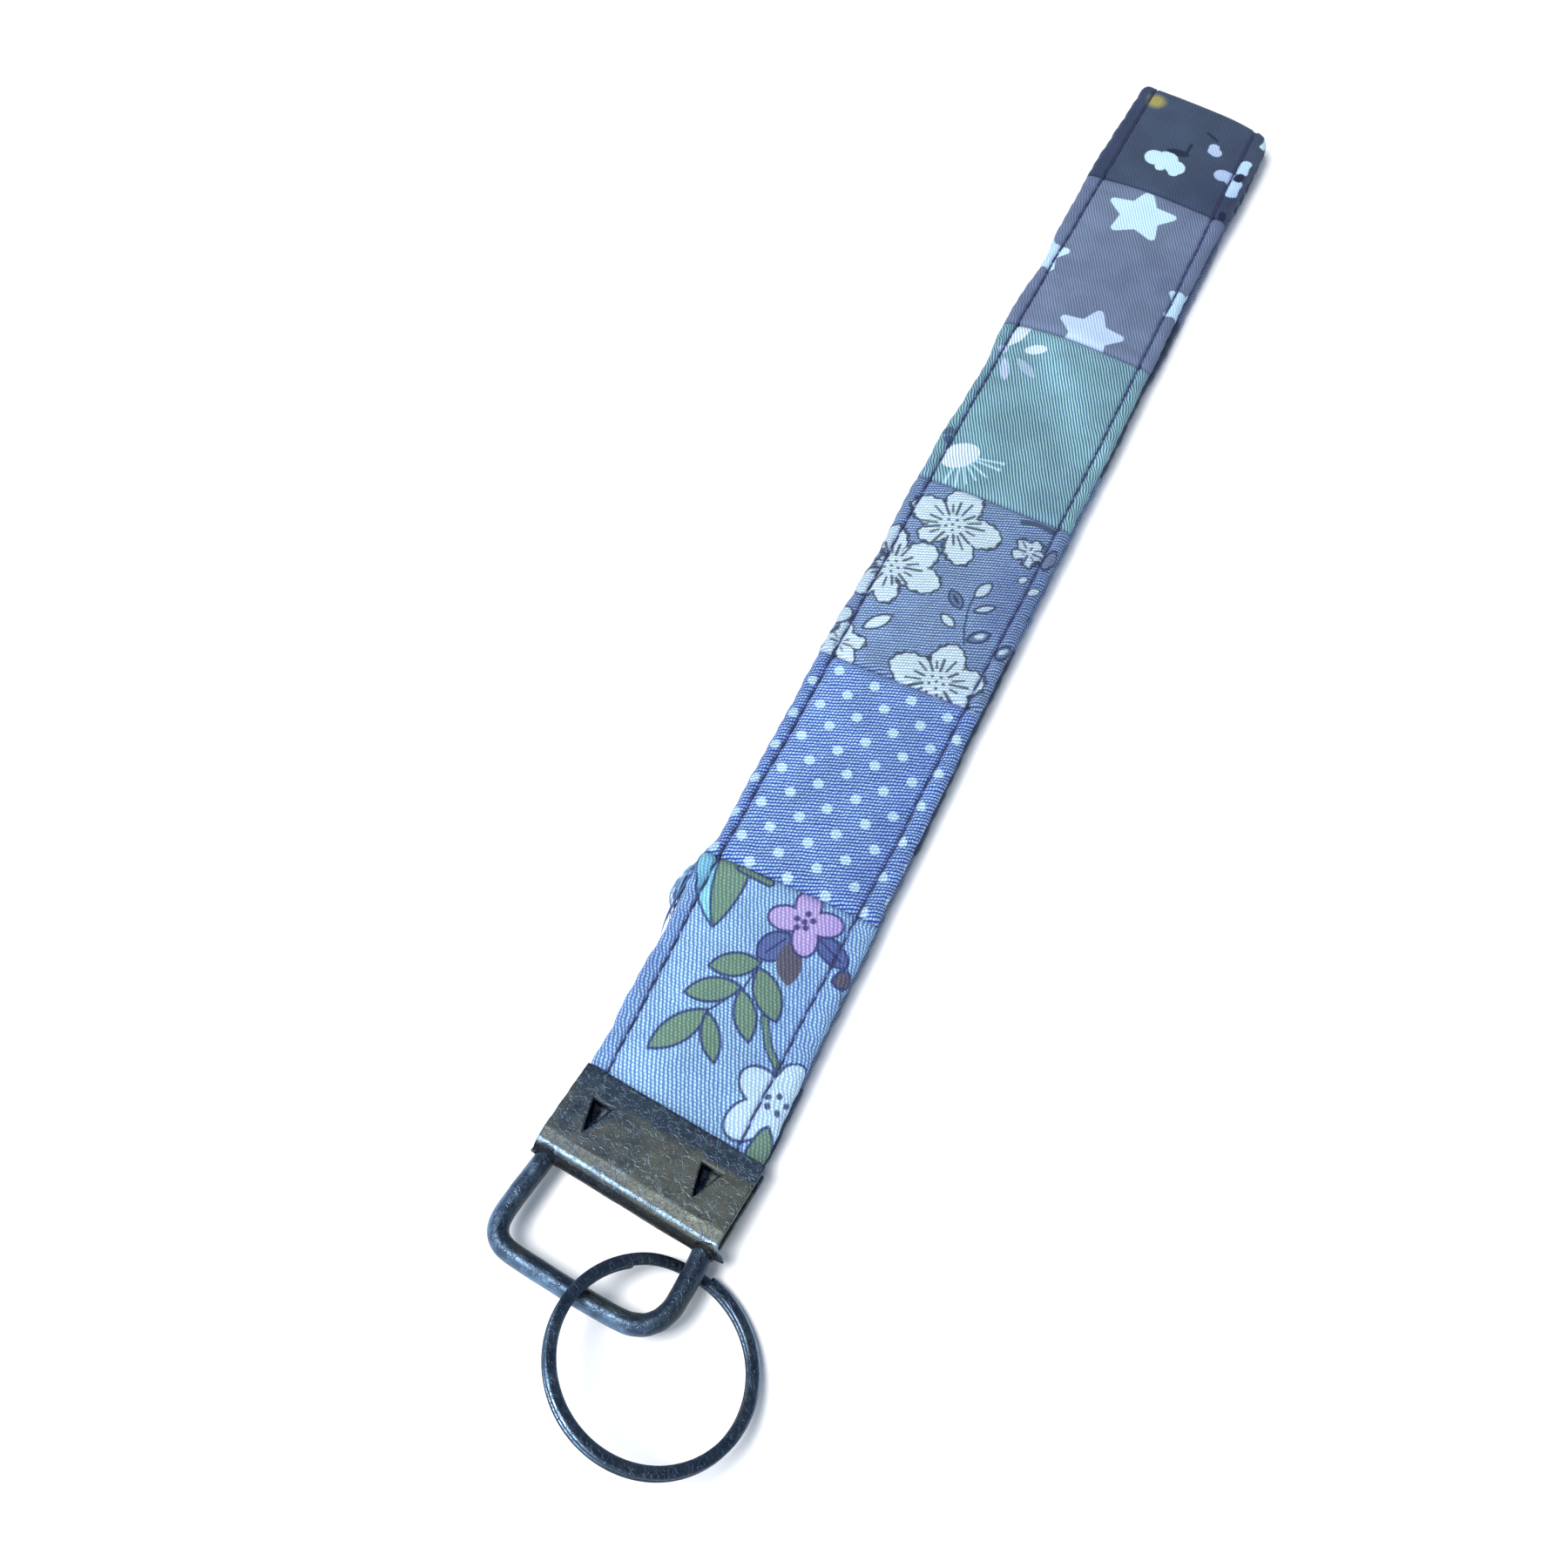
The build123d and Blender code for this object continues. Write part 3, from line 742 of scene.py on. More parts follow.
class Layer:
    """One layer of the strap. side is +1 for the upper layer and -1 for the lower one, which faces down."""

    def __init__(self, side, seed):
        self.side = side
        self.seed = seed

    def edges(self, y):
        scallop = 0.05 * np.sin(2 * np.pi * y / STITCH_PITCH)
        left = along(LEFT_EDGE, y) + scallop + 0.10 * ripple(y, 0 * y, self.seed, (5.0, 11.0))
        right = along(RIGHT_EDGE, y) + scallop + 0.10 * ripple(y, 0 * y, self.seed + 1, (5.0, 11.0))
        if self.side < 0:
            free = smoothstep(182, 173, y)
            left = left + 0.25 * free
            right = right + (0.15 + 0.5 * smoothstep(138, 155, y)) * free
        return left, right

    def rows(self, y):
        wobble = 0.07 * ripple(y, 0 * y, self.seed + 2, (7.0, 16.0))
        return along(LEFT_ROW, y) + wobble, along(RIGHT_ROW, y) - wobble

    def thickness(self, y):
        """Half the layer's thickness: full, but crushed where it goes into the clamp."""
        start, end = (-0.8, 5.5) if self.side > 0 else (0.5, 8.0)
        return CRUSHED + (LAYER_THICKNESS / 2 - CRUSHED) * smoothstep(start, end, y)

    def fading(self, x, y, seam_gap):
        """Brightness of the cloth: painted light that falls off from left to right, painted shade on the left
        hem, a little random tone, spots of painted sheen and painted shade with some uneven fade, and painted
        shade in the stitch grooves, in the seams' dips and inside the clamp.
        """
        row_left, row_right = self.rows(y)
        # painted light falling off from left to right, and painted shade on the left hem
        value = 1.03 - 0.006 * x - 0.18 * smoothstep(row_left + 0.2, row_left - 0.3, x)
        value = value * (1 + 0.05 * ripple(x, y, self.seed + 7, (6.0, 11.0)))
        for spot_x, spot_y, wide, tall, turn, amount in SHEEN_SHADE_AND_FADE_SPOTS:
            c, s = math.cos(math.radians(turn)), math.sin(math.radians(turn))
            across = (x - spot_x) * c + (y - spot_y) * s
            lengthwise = (y - spot_y) * c - (x - spot_x) * s
            value = value + amount * spread(across, wide) * spread(lengthwise, tall)
        # painted shade in the stitch grooves
        for row in (row_left, row_right):
            value = value * (1 - 0.62 * spread(x - row, 0.27))
        # painted shade in the seams' dips, and deep painted shade on the cloth inside the clamp
        inside_clamp = smoothstep(-0.8, -2.5, y)
        return value * (1 - 0.40 * spread(seam_gap, 0.22)) * (1 - 0.93 * inside_clamp)

    def height(self, x, y, seam_gap):
        """Height of the outer face above the layer's middle. seam_gap is the distance to the nearest seam."""
        left, right = self.edges(y)
        row_left, row_right = self.rows(y)
        full = self.thickness(y)
        loft = full / (LAYER_THICKNESS / 2)
        to_edge = np.minimum(x - left, right - x)
        rounded = np.sqrt(np.maximum(0, 1 - (1 - np.clip(to_edge / EDGE_ROUND, 0, 1)) ** 2))
        relief = 0.16 * ripple(x, y, self.seed + 3, (13.0, 21.0))
        beat = 2 * np.pi * y / STITCH_PITCH
        for row in (row_left, row_right):
            gap = np.abs(x - row)
            relief = relief - GROOVE_DEPTH * (0.75 + 0.25 * np.cos(beat)) * spread(gap, GROOVE_WIDTH)
            tug = spread(gap - 1.6, 1.5) * (gap > 0.3)
            relief = relief + 0.05 * tug * np.cos(beat + 2.0 * ripple(x, y, self.seed + 4, (9.0,)))
        inside = (x > row_left) & (x < row_right)
        middle = (row_left + row_right) / 2
        relief = relief + np.where(inside, 0.10 * (1 - ((x - middle) / (row_right - middle)) ** 2), 0.10)
        relief = relief - 0.50 * spread(seam_gap, 0.55) + 0.10 * spread(seam_gap - 2.0, 1.2)
        return (full + relief * loft) * rounded

    def place(self, x, y, h):
        """A point of the frame from its place on the layer. A crushed layer keeps close to the other one."""
        sunk = (LAYER_THICKNESS / 2 - self.thickness(y)) * 1.05
        z = MID_Z + self.side * (CENTRE_HEIGHT - sunk + h)
        return np.stack([x, y, np.maximum(z, FLOOR_GAP)], -1)


def fold_start(x):
    """y at which the cloth starts round the fold, which is a little skew and rounded at its right corner."""
    apex = FOLD_APEX - 0.0065 * (x + 12) ** 2 - 0.9 * smoothstep(10.2, 13.0, x)
    return apex - MID_Z


def fold_place(x, s, h):
    """Round the fold: s runs along the upper layer, round the bend and back along the lower layer."""
    start = fold_start(x)
    radius = CENTRE_HEIGHT
    turn = np.clip((s - start) / radius, 0, np.pi)
    back = np.maximum(s - start - np.pi * radius, 0)
    y = np.minimum(s, start) - back + (radius + h) * np.sin(turn)
    z = MID_Z + (radius + h) * np.cos(turn)
    return np.stack([x, y, np.maximum(z, FLOOR_GAP)], -1)


def across_samples(left, right, fine):
    """x from edge to edge: dense where the edge is rounded, and about fine apart between."""
    near = EDGE_ROUND * (1 - np.cos(np.linspace(0, np.pi / 2, 9)))
    middle = np.linspace(0, 1, round(MIDDLE_WIDTH / fine) + 1)[1:-1]
    left, right = left[:, None], right[:, None]
    inner_left, inner_right = left + near[-1], right - near[-1]
    between = inner_left + (inner_right - inner_left) * middle
    return np.concatenate([left + near, between, right - near[::-1]], 1)


def corners(values):
    """The values at each quad's four corners, from a grid that is one column wider than the quads."""
    return np.stack([values[:-1, :-1], values[:-1, 1:], values[1:, 1:], values[1:, :-1]], -1).reshape(-1, 4)


def patch(name, layer, near, far, cloth, print_start, steps, fold=None):
    """One sewn patch: a closed flat tube of cloth with a rounded hem at each side and a dip at each seam.

    near and far are its seams, and steps the size of its mesh across and along. fold is (start, end) on the
    path round the fold, for a patch that takes it."""
    slot, shapes_of, ground, material = cloth
    fine_x, fine_y = steps
    begin, finish = fold if fold else (near[0], far[0])
    count = round((finish - begin) / fine_y)
    share = np.concatenate([[0, 0.004], np.linspace(0, 1, count + 1)[1:-1], [0.996, 1]])
    left, right = layer.edges(unfolded(begin + share * (finish - begin)))
    top_x = across_samples(left, right, fine_x)
    low_x = across_samples(left, right, max(0.7, fine_x))[:, ::-1][:, 1:-1]
    x = np.concatenate([top_x, low_x], 1)
    is_top = np.arange(x.shape[1]) < top_x.shape[1]
    start = seam_y(near, x) if near else np.full(x.shape, begin)
    end = seam_y(far, x) if far else finish
    y = start + share[:, None] * (end - start)
    seam_gap = np.full(x.shape, NO_SEAM)
    if near:
        seam_gap = y - start
    if far:
        seam_gap = np.minimum(seam_gap, end - y)
    walk = unfolded(y)
    outer = layer.height(x, walk, seam_gap)
    to_edge = np.clip(np.minimum(x - left[:, None], right[:, None] - x) / EDGE_ROUND, 0, 1)
    inner = -(layer.thickness(y) - 0.25 * spread(seam_gap, 0.5)) * np.sqrt(1 - (1 - to_edge) ** 2)
    h = np.where(is_top[None, :], outer, inner)
    points = fold_place(x, y, h) if fold else layer.place(x, y, h)

    # the cloth's own coordinates: distance round the tube from the middle of the outer face, and y
    ring = np.concatenate([points, points[:, :1]], 1)
    step = np.linalg.norm(np.diff(ring[:, :, [0, 2]], axis=1), axis=2)
    u = np.concatenate([np.zeros((len(share), 1)), np.cumsum(step, 1)], 1)
    middle = top_x.shape[1] // 2
    u = u - u[:, middle : middle + 1] + x[:, middle : middle + 1]
    v = np.concatenate([y, y[:, :1]], 1)

    index = np.arange(x.size).reshape(x.shape)
    quads, corner_u, corner_v = corners(np.concatenate([index, index[:, :1]], 1)), corners(u), corners(v)
    caps = [index[0][::-1], index[-1]]
    if layer.side < 0:
        quads, corner_u, corner_v = quads[:, ::-1], corner_u[:, ::-1], corner_v[:, ::-1]
        caps = [cap[::-1] for cap in caps]
    point_uv = np.stack([u[:, :-1].ravel(), y.ravel()], -1)
    quad_uv = np.stack([corner_u, corner_v], -1).reshape(-1, 2)
    fabric = np.concatenate([quad_uv, *(point_uv[cap] for cap in caps)])
    faces = quads.tolist() + [cap.tolist() for cap in caps]
    shift = 0.0 if layer.side > 0 else LOWER_PRINT_SHIFT
    values = paint(shapes_of(print_start), point_uv[:, 0] + shift, point_uv[:, 1], ground)
    values["fading"] = layer.fading(x, walk, seam_gap).ravel()
    obj = mesh_object(name, points.reshape(-1, 3), faces, material, fabric, values)
    return obj


def stitches(name, layer, start, end, fold=False):
    """Lock stitches along both edges, on the outer and the inner face of a layer."""
    parts = []
    arc = np.linspace(-1, 1, 9)
    dip = 0.20 * np.abs(arc) ** 5
    girth = np.array([0.7, 0.9, 1, 1, 1, 1, 1, 0.9, 0.7])
    section = circle(STITCH_RADIUS, 8)
    count = round((end - start) / STITCH_PITCH)
    for k in range(count):
        y = start + (k + 0.5) * (end - start) / count + arc * STITCH_LENGTH / 2
        for row in layer.rows(unfolded(y)):
            x = row + STITCH_SLANT * arc
            outer = layer.height(x, unfolded(y), np.full(len(arc), NO_SEAM)) + 0.05 - dip
            inner = -layer.thickness(y) - 0.02 + dip
            for h in (outer, inner):
                path = fold_place(x, y, h) if fold else layer.place(x, y, h)
                parts.append(sweep(path, section, girth))
    points, faces = merged(parts)
    points[:, 2] = np.maximum(points[:, 2], FLOOR_GAP)
    obj = mesh_object(name, points, faces, THREAD)
    return obj


def make_cloth(slot, shapes_of, ground, ink, *weave):
    """A cloth: its slot, its print, its ground colour and its material."""
    return slot, shapes_of, ground, cloth_material(slot, ground, ink, *weave)


INK = (0.022, 0.036, 0.15)
SLATE_INK = (0.028, 0.047, 0.09)
FLORAL = make_cloth("cloth_blue_floral", floral_print, (0.26, 0.455, 0.67), INK, 26.0, 0.53, 0.68, 0.60)
DOTS = make_cloth("cloth_blue_dots", dots_print, (0.222, 0.38, 0.655), INK, 112.0, 0.49, 0.90, 0.65)
BLOSSOM = make_cloth(
    "cloth_grey_blue_flowers", blossom_print, (0.20, 0.315, 0.475), SLATE_INK, 112.0, 0.47, 0.80, 0.60
)
LEAVES = make_cloth("cloth_teal_leaves", leaves_print, (0.165, 0.325, 0.385), INK, 28.0, 0.47, 0.70, 0.10)
STARS = make_cloth("cloth_grey_stars", stars_print, (0.124, 0.168, 0.265), INK, 29.0, 0.475, 0.36, 0.10)
CLOUDS = make_cloth("cloth_navy", clouds_print, SLATE, INK, 29.0, 0.47, 0.22, 0.20)
THREAD = thread_material()

upper = Layer(+1, 11)
lower = Layer(-1, 47)

# Each flat patch: its layer, its cloth, its bodies and its bend, the stretch of strap that lies between them
UPPER_HALVES = ("upper_near", "upper_far")
LOWER_HALVES = ("lower_far", "lower_near")
FLAT_PATCHES = {
    1: (upper, FLORAL, ("root", "upper_near"), MOUTH_BEND),
    2: (upper, DOTS, UPPER_HALVES, MID_BEND),
    3: (upper, BLOSSOM, UPPER_HALVES, MID_BEND),
    4: (upper, LEAVES, UPPER_HALVES, MID_BEND),
    5: (upper, STARS, ("upper_far",), None),
    7: (lower, STARS, ("lower_far",), None),
    8: (lower, CLOUDS, LOWER_HALVES, MID_BEND[::-1]),
    9: (lower, BLOSSOM, LOWER_HALVES, MID_BEND[::-1]),
    10: (lower, CLOUDS, LOWER_HALVES, MID_BEND[::-1]),
    11: (lower, STARS, ("lower_near",), None),
    12: (lower, CLOUDS, ("lower_near",), None),
}


def nodes_named(start):
    return [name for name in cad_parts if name.startswith(start)]


def attach(obj, bodies, bend):
    """Rides on the first of its bodies when there is no bend. With a bend it is only baked in place, and the
    bend's ends are worked out but not used.
    """
    if bend is None:
        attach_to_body(obj, bodies[0])
    else:
        start, end = ((0, y * MM, MID_Z * MM) for y in bend)
        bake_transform(obj)
        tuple(start)
        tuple(end)


def flat_patches():
    """Five patches on the upper layer and six on the lower, each with its stitches."""
    for number, (layer, patch_cloth, bodies, bend) in FLAT_PATCHES.items():
        if layer is upper:
            seams, steps = UPPER_SEAMS[number - 1 :], (0.2, 0.22)
        else:
            seams, steps = LOWER_SEAMS[12 - number :], (0.3, 0.35)
        near, far = seams[:2]
        print_start = 0.0 if number == 1 else near[0]
        name = f"patch_{number:02d}"
        obj = patch(f"{name}_cloth", layer, near, far, patch_cloth, print_start, steps)
        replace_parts(obj, *nodes_named(f"{name}_"))
        attach(obj, bodies, bend)
        thread_start = near[0] + 1.0 if number == 12 else max(near[0], -6.0)
        attach(stitches(f"{name}_stitches", layer, thread_start, far[0]), bodies, bend)


def fold_patch():
    """The sixth patch, in two pieces: over the fold, and the short stretch that comes back below."""
    seam, steps = UPPER_SEAMS[5], (0.2, 0.18)
    round_trip = 2 * fold_start(0) + math.pi * CENTRE_HEIGHT
    cut, end = round_trip - FOLD_CUT_Y, round_trip - LOWER_SEAMS[-1][0]
    over = patch("patch_06_over_fold", upper, seam, None, CLOUDS, seam[0], steps, (seam[0], cut))
    back = patch("patch_06_back", upper, None, None, CLOUDS, seam[0], steps, (cut, end))
    over_thread = stitches("patch_06_stitches", upper, seam[0], cut, fold=True)
    back_thread = stitches("patch_06_back_stitches", upper, cut, end, fold=True)
    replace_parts(over, *(name for name in nodes_named("patch_06") if not name.endswith("lower_far")))
    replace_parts(back, "patch_06_lower_far")
    for obj in (over, over_thread):
        attach(obj, ("upper_far", "fold_end"), FOLD_BEND)
    for obj in (back, back_thread):
        attach(obj, ("upper_far", "lower_far"), LOWER_FOLD_BEND)
    return over, over_thread


def lower_tail():
    """The end of the lower layer that stays crushed in the clamp."""
    start = (-9.0, 0.0, 0.0)
    tail = patch("lower_tail_cloth", lower, start, LOWER_SEAMS[0], CLOUDS, 0.0, (0.4, 0.4))
    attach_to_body(tail, "root")
    return tail


def strap():
    """All the cloth. It stands for the core, the tails and the plain rows of thread, which it hides."""
    flat_patches()
    over_fold, over_thread = fold_patch()
    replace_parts(over_fold, *nodes_named("core_"))
    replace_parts(over_thread, *nodes_named("topstitch_"))
    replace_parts(lower_tail(), "strap_tail_upper", "strap_tail_lower")


# ---------------------------------------------------------------- clamp, wire loop and ring


def turned(degrees, axis):
    return Matrix.Rotation(math.radians(degrees), 4, axis)


HARDWARE = Matrix.Translation((0, 0, MID_Z)) @ turned(CLAMP_TURN, "Z") @ turned(-CLAMP_LIFT, "X")
SETTLED = Matrix.Translation((0.3, 0, 0)) @ HARDWARE @ turned(-1.1, "Z")


def placed(points, matrix):
    m = np.array(matrix)
    return np.asarray(points) @ m[:3, :3].T + m[:3, 3]


def pits(x, y, z):
    """How far a point is inside one of the two windows, seen from above, and the painted shade there: darker
    to the left, and lifted near the right of each window's wide end to leave a glint.
    """
    inside, dark = np.zeros(len(x)), np.zeros(len(x))
    below = y - TOOTH_BASE_Y
    for side, shine in ((-1, 0.9), (1, 0.35)):
        across = x - side * TOOTH_X
        half = 1.15 * TOOTH_WIDTH / 2 * (below + TOOTH_LENGTH) / TOOTH_LENGTH
        window = smoothstep(-0.05, 0.2, half - np.abs(across)) * smoothstep(0.3, 0.1, below) * (z > 0.5)
        glint = spread(across - 0.75, 0.5) * spread(below + 0.05, 0.3)
        inside = np.maximum(inside, window)
        leftward = smoothstep(0.8, 0.15, across)
        dark = np.maximum(dark, window * (0.45 + 0.55 * leftward) * (1 - shine * glint))
    return inside, dark


def remeshed_clamp():
    """The CAD clamp with a fine even mesh, so that its edges round off."""
    obj = bpy.data.objects.new("clamp_body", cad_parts["crimp_clamp"].data.copy())
    bpy.context.scene.collection.objects.link(obj)
    remesh = obj.modifiers.new("remesh", "REMESH")
    remesh.mode = "VOXEL"
    remesh.voxel_size = 0.16 * MM
    smooth = obj.modifiers.new("smooth", "SMOOTH")
    smooth.factor = 0.5
    smooth.iterations = 4
    mesh = bpy.data.meshes.new_from_object(obj.evaluated_get(bpy.context.evaluated_depsgraph_get()))
    obj.modifiers.clear()
    obj.data = mesh
    return obj


def per_point(mesh, field):
    values = np.empty(len(mesh.vertices) * 3)
    mesh.vertices.foreach_get(field, values)
    return values.reshape(-1, 3)


def clamp(metal):
    """The clamp, its spine folded rounder, then dented and worn, with a painted highlight band along the spine
    and painted shade in the windows and under the spine.
    """
    obj = remeshed_clamp()
    mesh = obj.data
    points = placed(per_point(mesh, "co") / MM, HARDWARE.inverted())
    dent = 0.035 * ripple(points[:, 0], points[:, 1] + 3 * points[:, 2], 5, (2.6, 5.0, 9.0))
    points += per_point(mesh, "normal") @ np.array(HARDWARE)[:3, :3] * dent[:, None]
    x, y, z = points.T
    inside, pit = pits(x, y, z)
    z = z - 0.35 * inside

    # collars flush with the spine, spine rounded from the top face down, windows a little to the left
    level = np.clip(np.abs(z) / (CLAMP_HEIGHT / 2), 0, 1)
    right_hole = smoothstep(10.2, 11.4, x) * smoothstep(-11.8, -12.4, y)
    x = np.where(y < -12.3, np.minimum(x - 0.75 * right_hole, CLAMP_WIDTH / 2), x)
    spine_y = np.maximum(y, -CLAMP_DEPTH) + 1.5 * smoothstep(-8.8, -CLAMP_DEPTH, y) * level**3
    spine_z = z * (1 - 0.10 * smoothstep(-9.8, -CLAMP_DEPTH, y))
    near_tooth = spread(np.abs(x) - TOOTH_X, 2.6) * smoothstep(-10.5, -8.5, y)
    shaped_y = spine_y - 0.45 * near_tooth * smoothstep(-0.6, -2.2, y)
    shaped = np.column_stack([x - 0.6 * near_tooth, shaped_y, spine_z])
    mesh.vertices.foreach_set("co", (placed(shaped, SETTLED) * MM).ravel())

    # a painted highlight band where the spine starts to round, in the worn metal colour with less patina; the
    # rims along the sides are really worn
    spine_highlight_band = spread(spine_y + 11.35, 0.36) * (spine_z > 0.6)
    rim = 0.2 * np.exp(-((CLAMP_WIDTH / 2 - np.abs(x)) / 0.2))
    mouth = smoothstep(-3.4, -1.9, y - 0.3 * ripple(x, y, 6, (4.0, 9.0)))
    values = {
        "wear": np.clip(0.80 * spine_highlight_band + rim, 0, 1),
        "patina": (1 - mouth) * (0.45 + 0.55 * smoothstep(-12, 6, x)) * (1 - 0.6 * spine_highlight_band),
        # painted shade in the windows and on the underside of the spine
        "pit": np.maximum(pit, 0.75 * smoothstep(-11.75, -12.1, spine_y)),
    }
    store(mesh, values)
    mesh.materials.clear()
    mesh.materials.append(metal)
    mesh.shade_smooth()
    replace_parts(obj, "crimp_clamp")
    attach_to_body(obj, "root")


# Centreline of the wire loop in the clamp's own frame: foot, leg, tight corner, bar, wide corner, leg, foot
WIRE_BENDS = (
    (-11.0, -10.4), (-11.2, -13.7), (-11.5, -17.3), (-11.6, -20.3), (-11.4, -22.0), (-10.6, -23.3),
    (-9.3, -24.0), (-7.7, -24.2), (-3.7, -24.3), (1.4, -24.4), (6.4, -24.3), (8.5, -24.1), (10.3, -23.3),
    (11.5, -21.9), (12.1, -20.1), (12.1, -17.4), (12.0, -14.4), (11.7, -12.4), (11.5, -10.4),
)


def wire_path():
    """The wire's centreline with its bends rounded off, in the clamp's own frame."""
    bends = np.array(WIRE_BENDS)
    length = np.concatenate([[0], np.cumsum(np.linalg.norm(np.diff(bends, axis=0), axis=1))])
    fine = np.linspace(0, length[-1], 360)
    flat = [smoothed(np.interp(fine, length, bends[:, axis]), 19) for axis in (0, 1)]
    return np.column_stack([*flat, np.zeros(len(fine))])


def wire_loop(metal):
    """One round rod, a little uneven, lighter along its left leg and its bar where it is worn and painted
    lighter, with painted highlights on the sides that face left and to the front.
    """
    path = wire_path()
    x, y = path[:, 0].copy(), path[:, 1].copy()
    sway = smoothstep(-13, -17, y)
    path[:, 0] += 0.06 * sway * ripple(x, y, 21, (9.0, 16.0))
    path[:, 2] += 0.10 * sway * ripple(x, y, 22, (12.0, 20.0))
    girth = 1.03 + 0.02 * ripple(x, y, 23, (3.0, 7.0))
    count = 40
    points, faces = sweep(path, circle(WIRE_DIAMETER / 2, count), girth)
    # worn metal colour along the left leg and the front of the bar, where it is worn and painted lighter
    scuff_and_light = np.repeat(0.10 + 0.25 * smoothstep(-10.0, -12.0, x) + 0.12 * smoothstep(-22.0, -24.0, y), count)
    outward = (points - np.repeat(path, count, 0)) / (WIRE_DIAMETER / 2)
    # painted highlight on the sides that face left and to the front, with less patina there
    painted_highlight = np.clip(0.5 - 0.6 * outward[:, 0] - 0.9 * outward[:, 1] + 0.2 * outward[:, 2], 0, 1.4)
    patina = 0.5 + 0.3 * ripple(points[:, 0], points[:, 1], 24, (5.0, 9.0)) - 0.6 * painted_highlight
    values = {"wear": scuff_and_light + 0.30 * painted_highlight, "patina": patina, "pit": np.zeros(len(points))}
    obj = mesh_object("wire_loop_rod", placed(points, HARDWARE), faces, metal, values=values)
    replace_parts(obj, "wire_loop")
    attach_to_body(obj, "root")


def split_ring(metal):
    """One spring wire in two flat turns, with a step between them where its two ends lie."""
    start, ramp_start, ramp_end, end = (math.radians(a) for a in (129, 446, 485, 802))
    angle = np.linspace(start, end, 420)
    level = RING_TURN * (smoothstep(ramp_start, ramp_end, angle) - 0.5) * 1.04
    radius = (RING_DIAMETER - RING_WIDTH) / 2 + 0.04 * np.sin(2 * angle)
    path = np.column_stack([radius * np.cos(angle), radius * np.sin(angle), level])
    count = 28
    turn = np.arange(count) * 2 * np.pi / count
    square = 0.85  # 1 is an oval section, and less is squarer
    section = np.column_stack([
        half * np.sign(wave) * np.abs(wave) ** square
        for half, wave in ((RING_WIDTH / 2, np.cos(turn)), (RING_TURN / 2, np.sin(turn)))
    ])
    size = np.ones(len(angle))
    size[[0, -1]] = 0.85
    points, faces = sweep(path, section, size)
    lie = (
        Matrix.Translation(RING_CENTRE)
        @ turned(RING_LOW_DIRECTION, "Z")
        @ turned(RING_TILT, "Y")
        @ turned(-RING_LOW_DIRECTION, "Z")
    )
    # painted highlights along the edges of the wire's section, strongest where the ring faces the light, over
    # a little real scuffing
    highlight_edges = spread(turn - 0.7, 0.35) + 0.7 * spread(turn - 2.5, 0.3) + 0.35 * spread(turn - 1.6, 0.5)
    facing_light = np.repeat(0.62 + 0.38 * np.cos(2 * (angle - math.radians(225))), count)
    shine_and_scuff = np.tile(0.75 * highlight_edges, len(angle)) * facing_light + 0.10
    values = {"wear": shine_and_scuff, "patina": np.full(len(points), 0.2), "pit": np.zeros(len(points))}
    obj = mesh_object("split_ring_coil", placed(points, lie), faces, metal, values=values)
    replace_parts(obj, "split_ring")
    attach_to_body(obj, "key_ring")


STRAND_COUNT = 46
STRAND_SHADES = (0.05, 0.45, 0.65, 0.5, 1.0, 0.55, 0.9)


def frayed_tuft():
    """Loose yarns at the left end of the first seam, hanging along the hem in pale blue to navy."""
    source = np.random.default_rng(8)
    cloth = fray_material("fray_blue", (0.035, 0.075, 0.24), (0.40, 0.66, 0.82))
    parts, shades = [], []
    section = circle(1.0, 8)
    for k in range(STRAND_COUNT):
        t = np.linspace(0, 1, 18)
        out = source.uniform(0.1, 1.1)
        length = source.uniform(5.0, 9.5) * (1.25 if k % 7 == 0 else 1.0)
        bow = np.sin(np.pi * np.clip(t * 0.9 + 0.06, 0, 1)) ** 0.7
        x = -13.0 - 1.8 * out * bow + 0.10 * np.sin(6 * t + k)
        y = source.uniform(32.2, 33.9) - 2.2 * out * (1 - t) - length * t
        z = source.uniform(2.2, 4.6) - 0.8 * t + 0.2 * np.sin(5 * t + 2 * k)
        path = np.column_stack([x, y, np.maximum(z, 0.4)])
        thick = source.uniform(0.08, 0.19) * np.clip(1.1 - t**3, 0.15, 1)
        points, faces = sweep(path, section, thick)
        parts.append((points, faces))
        shades.append(np.full(len(points), STRAND_SHADES[k % 7]))
    points, faces = merged(parts)
    obj = mesh_object("seam_tuft", points, faces, cloth, values={"strand": np.concatenate(shades)})
    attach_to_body(obj, "upper_near")


# ---------------------------------------------------------------- stage


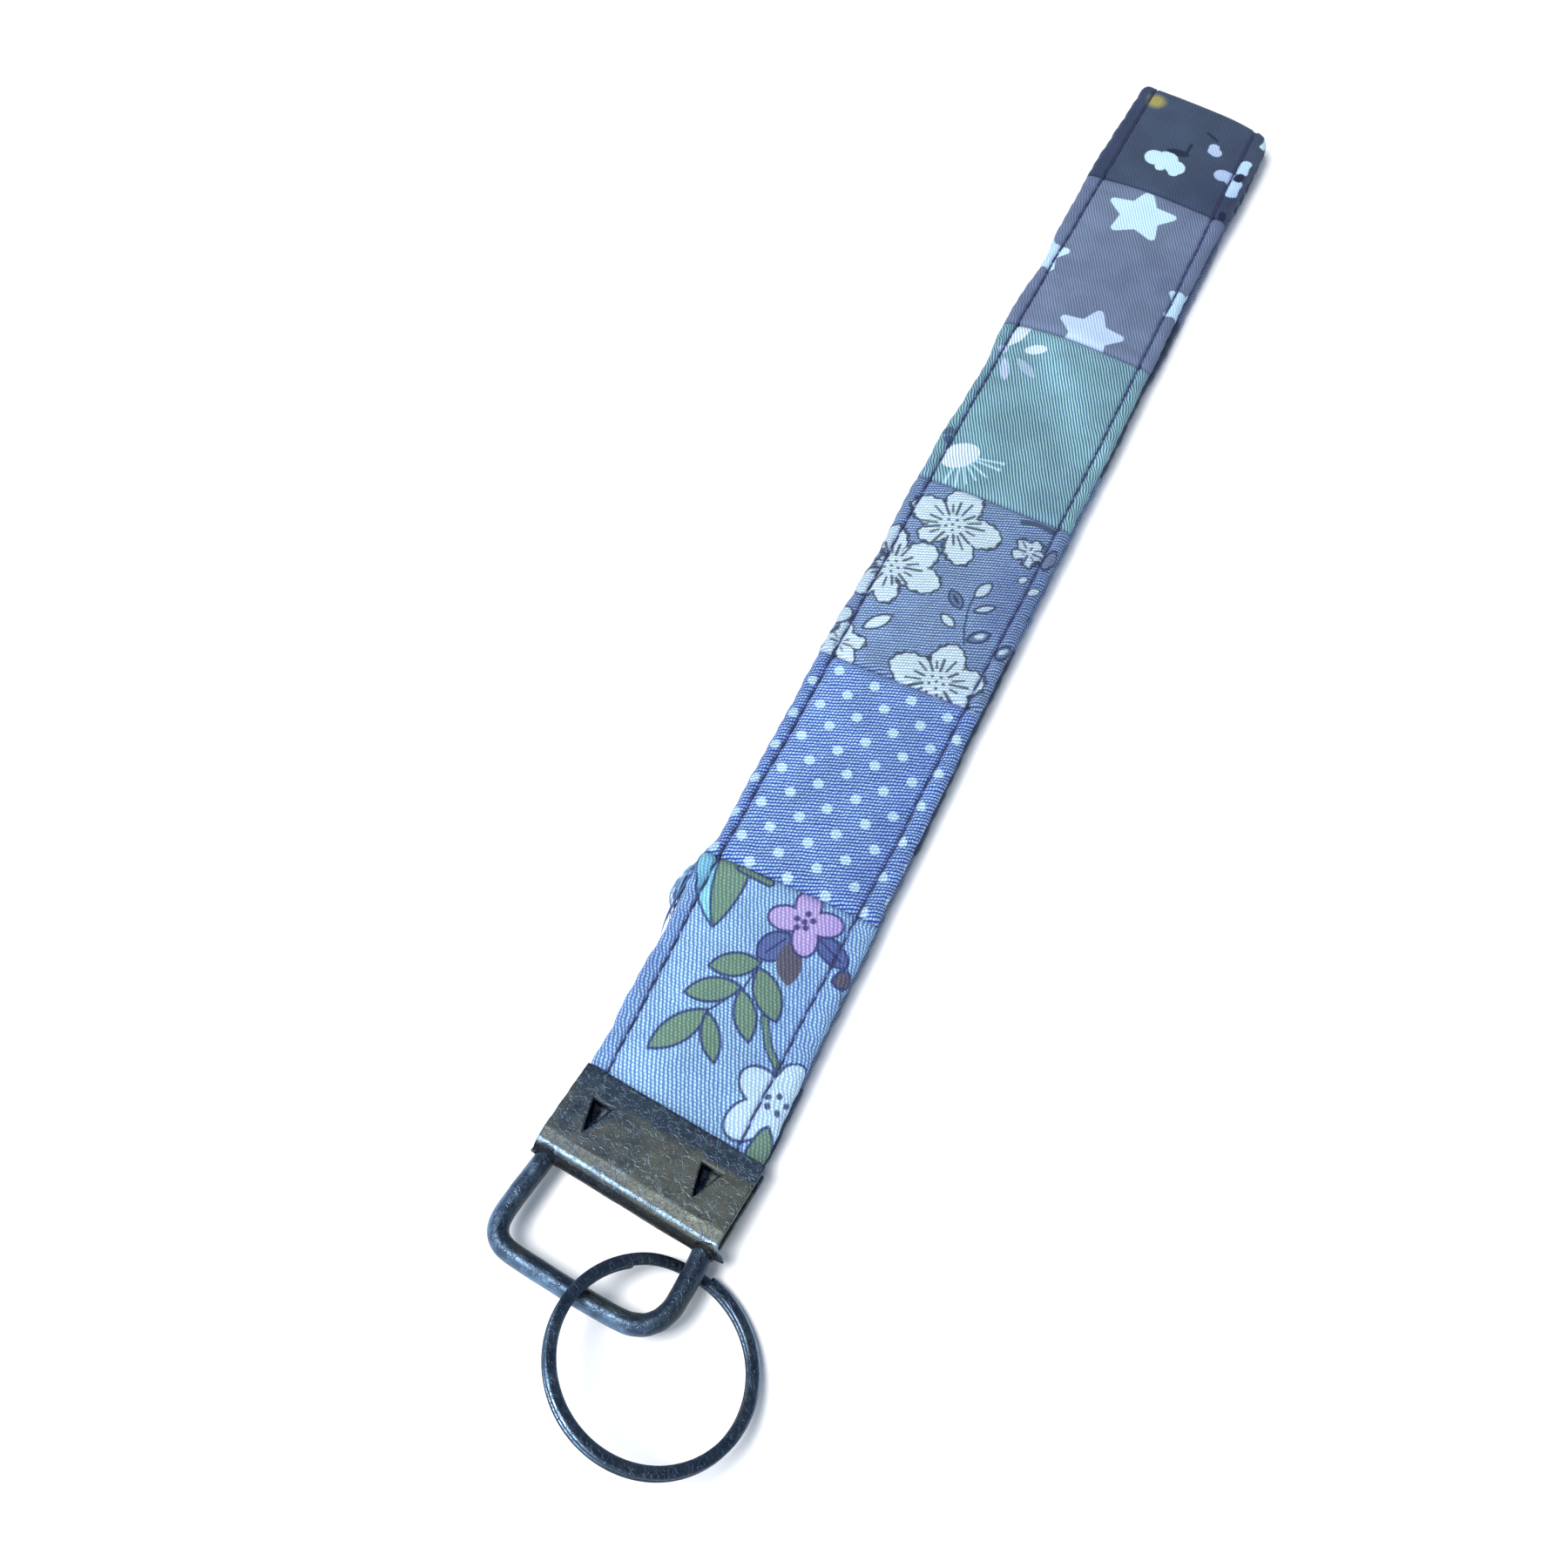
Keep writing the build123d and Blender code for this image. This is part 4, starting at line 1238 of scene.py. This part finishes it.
def stage():
    """A wide pale floor, a hair below the strap."""
    size = 3.0
    square = [(-size, -size, 0), (size, -size, 0), (size, size, 0), (-size, size, 0)]
    floor = bpy.data.meshes.new("floor")
    floor.from_pydata(square, [], [(0, 1, 2, 3)])
    floor.materials.append(floor_material())
    ground = bpy.data.objects.new("floor", floor)
    ground.location.z = -0.02 * MM
    bpy.context.scene.collection.objects.link(ground)


def lights():
    """A soft key from the upper left, a weak front light, and a room that is pale low and dark overhead."""
    world = bpy.data.worlds.new("studio")
    bpy.context.scene.world = world
    graph = Graph(world)
    direction = graph.node("SeparateXYZ", Vector=graph.node("TexCoord").outputs["Generated"])
    height = graph.ramp(direction.outputs["Z"], 0.15, 0.95)
    colour = graph.mix(height, (0.62, 0.79, 1.0), (0.10, 0.12, 0.14))
    graph.feed_all(graph.tree.nodes["Background"], {"Color": colour, "Strength": 0.90})
    for name, place, size, power in (
        ("key", (-0.24, -0.20, 0.85), 0.38, 10.4),
        ("front", (0.05, -0.75, 0.50), 0.50, 2.7),
    ):
        lamp = bpy.data.lights.new(name, "AREA")
        lamp.size = size
        lamp.energy = power
        lamp.color = (1.0, 0.98, 0.96)
        obj = bpy.data.objects.new(name, lamp)
        obj.location = place
        aim = Vector((0.0, 0.08, 0.0)) - Vector(place)
        obj.rotation_euler = aim.to_track_quat("-Z", "Y").to_euler()
        bpy.context.scene.collection.objects.link(obj)
    bpy.context.scene.view_settings.view_transform = "Standard"


def camera():
    """Close above the clamp, looking down along the strap."""
    data = bpy.data.cameras.new("camera")
    data.lens = 34.66
    data.sensor_width = 36.0
    data.clip_start = 0.005
    obj = bpy.data.objects.new("camera", data)
    obj.location = Vector((35.20, -40.15, 191.49)) * MM
    obj.rotation_euler = Vector((-0.2053, 0.4180, -0.8849)).to_track_quat("-Z", "Y").to_euler()
    bpy.context.scene.collection.objects.link(obj)
    bpy.context.scene.camera = obj


camera()
stage()
lights()
strap()
clamp(antique_material(
    "antique_clamp", dark=(0.034, 0.050, 0.077), patina=(0.088, 0.095, 0.084), worn=(0.25, 0.37, 0.49),
    rough=0.43, hair=0.28,
))
wire_metal = antique_material(
    "antique_wire", dark=(0.036, 0.054, 0.084), patina=(0.062, 0.074, 0.072), worn=(0.19, 0.31, 0.47),
    rough=0.36, hair=0.08,
)
wire_loop(wire_metal)
split_ring(wire_metal)
frayed_tuft()
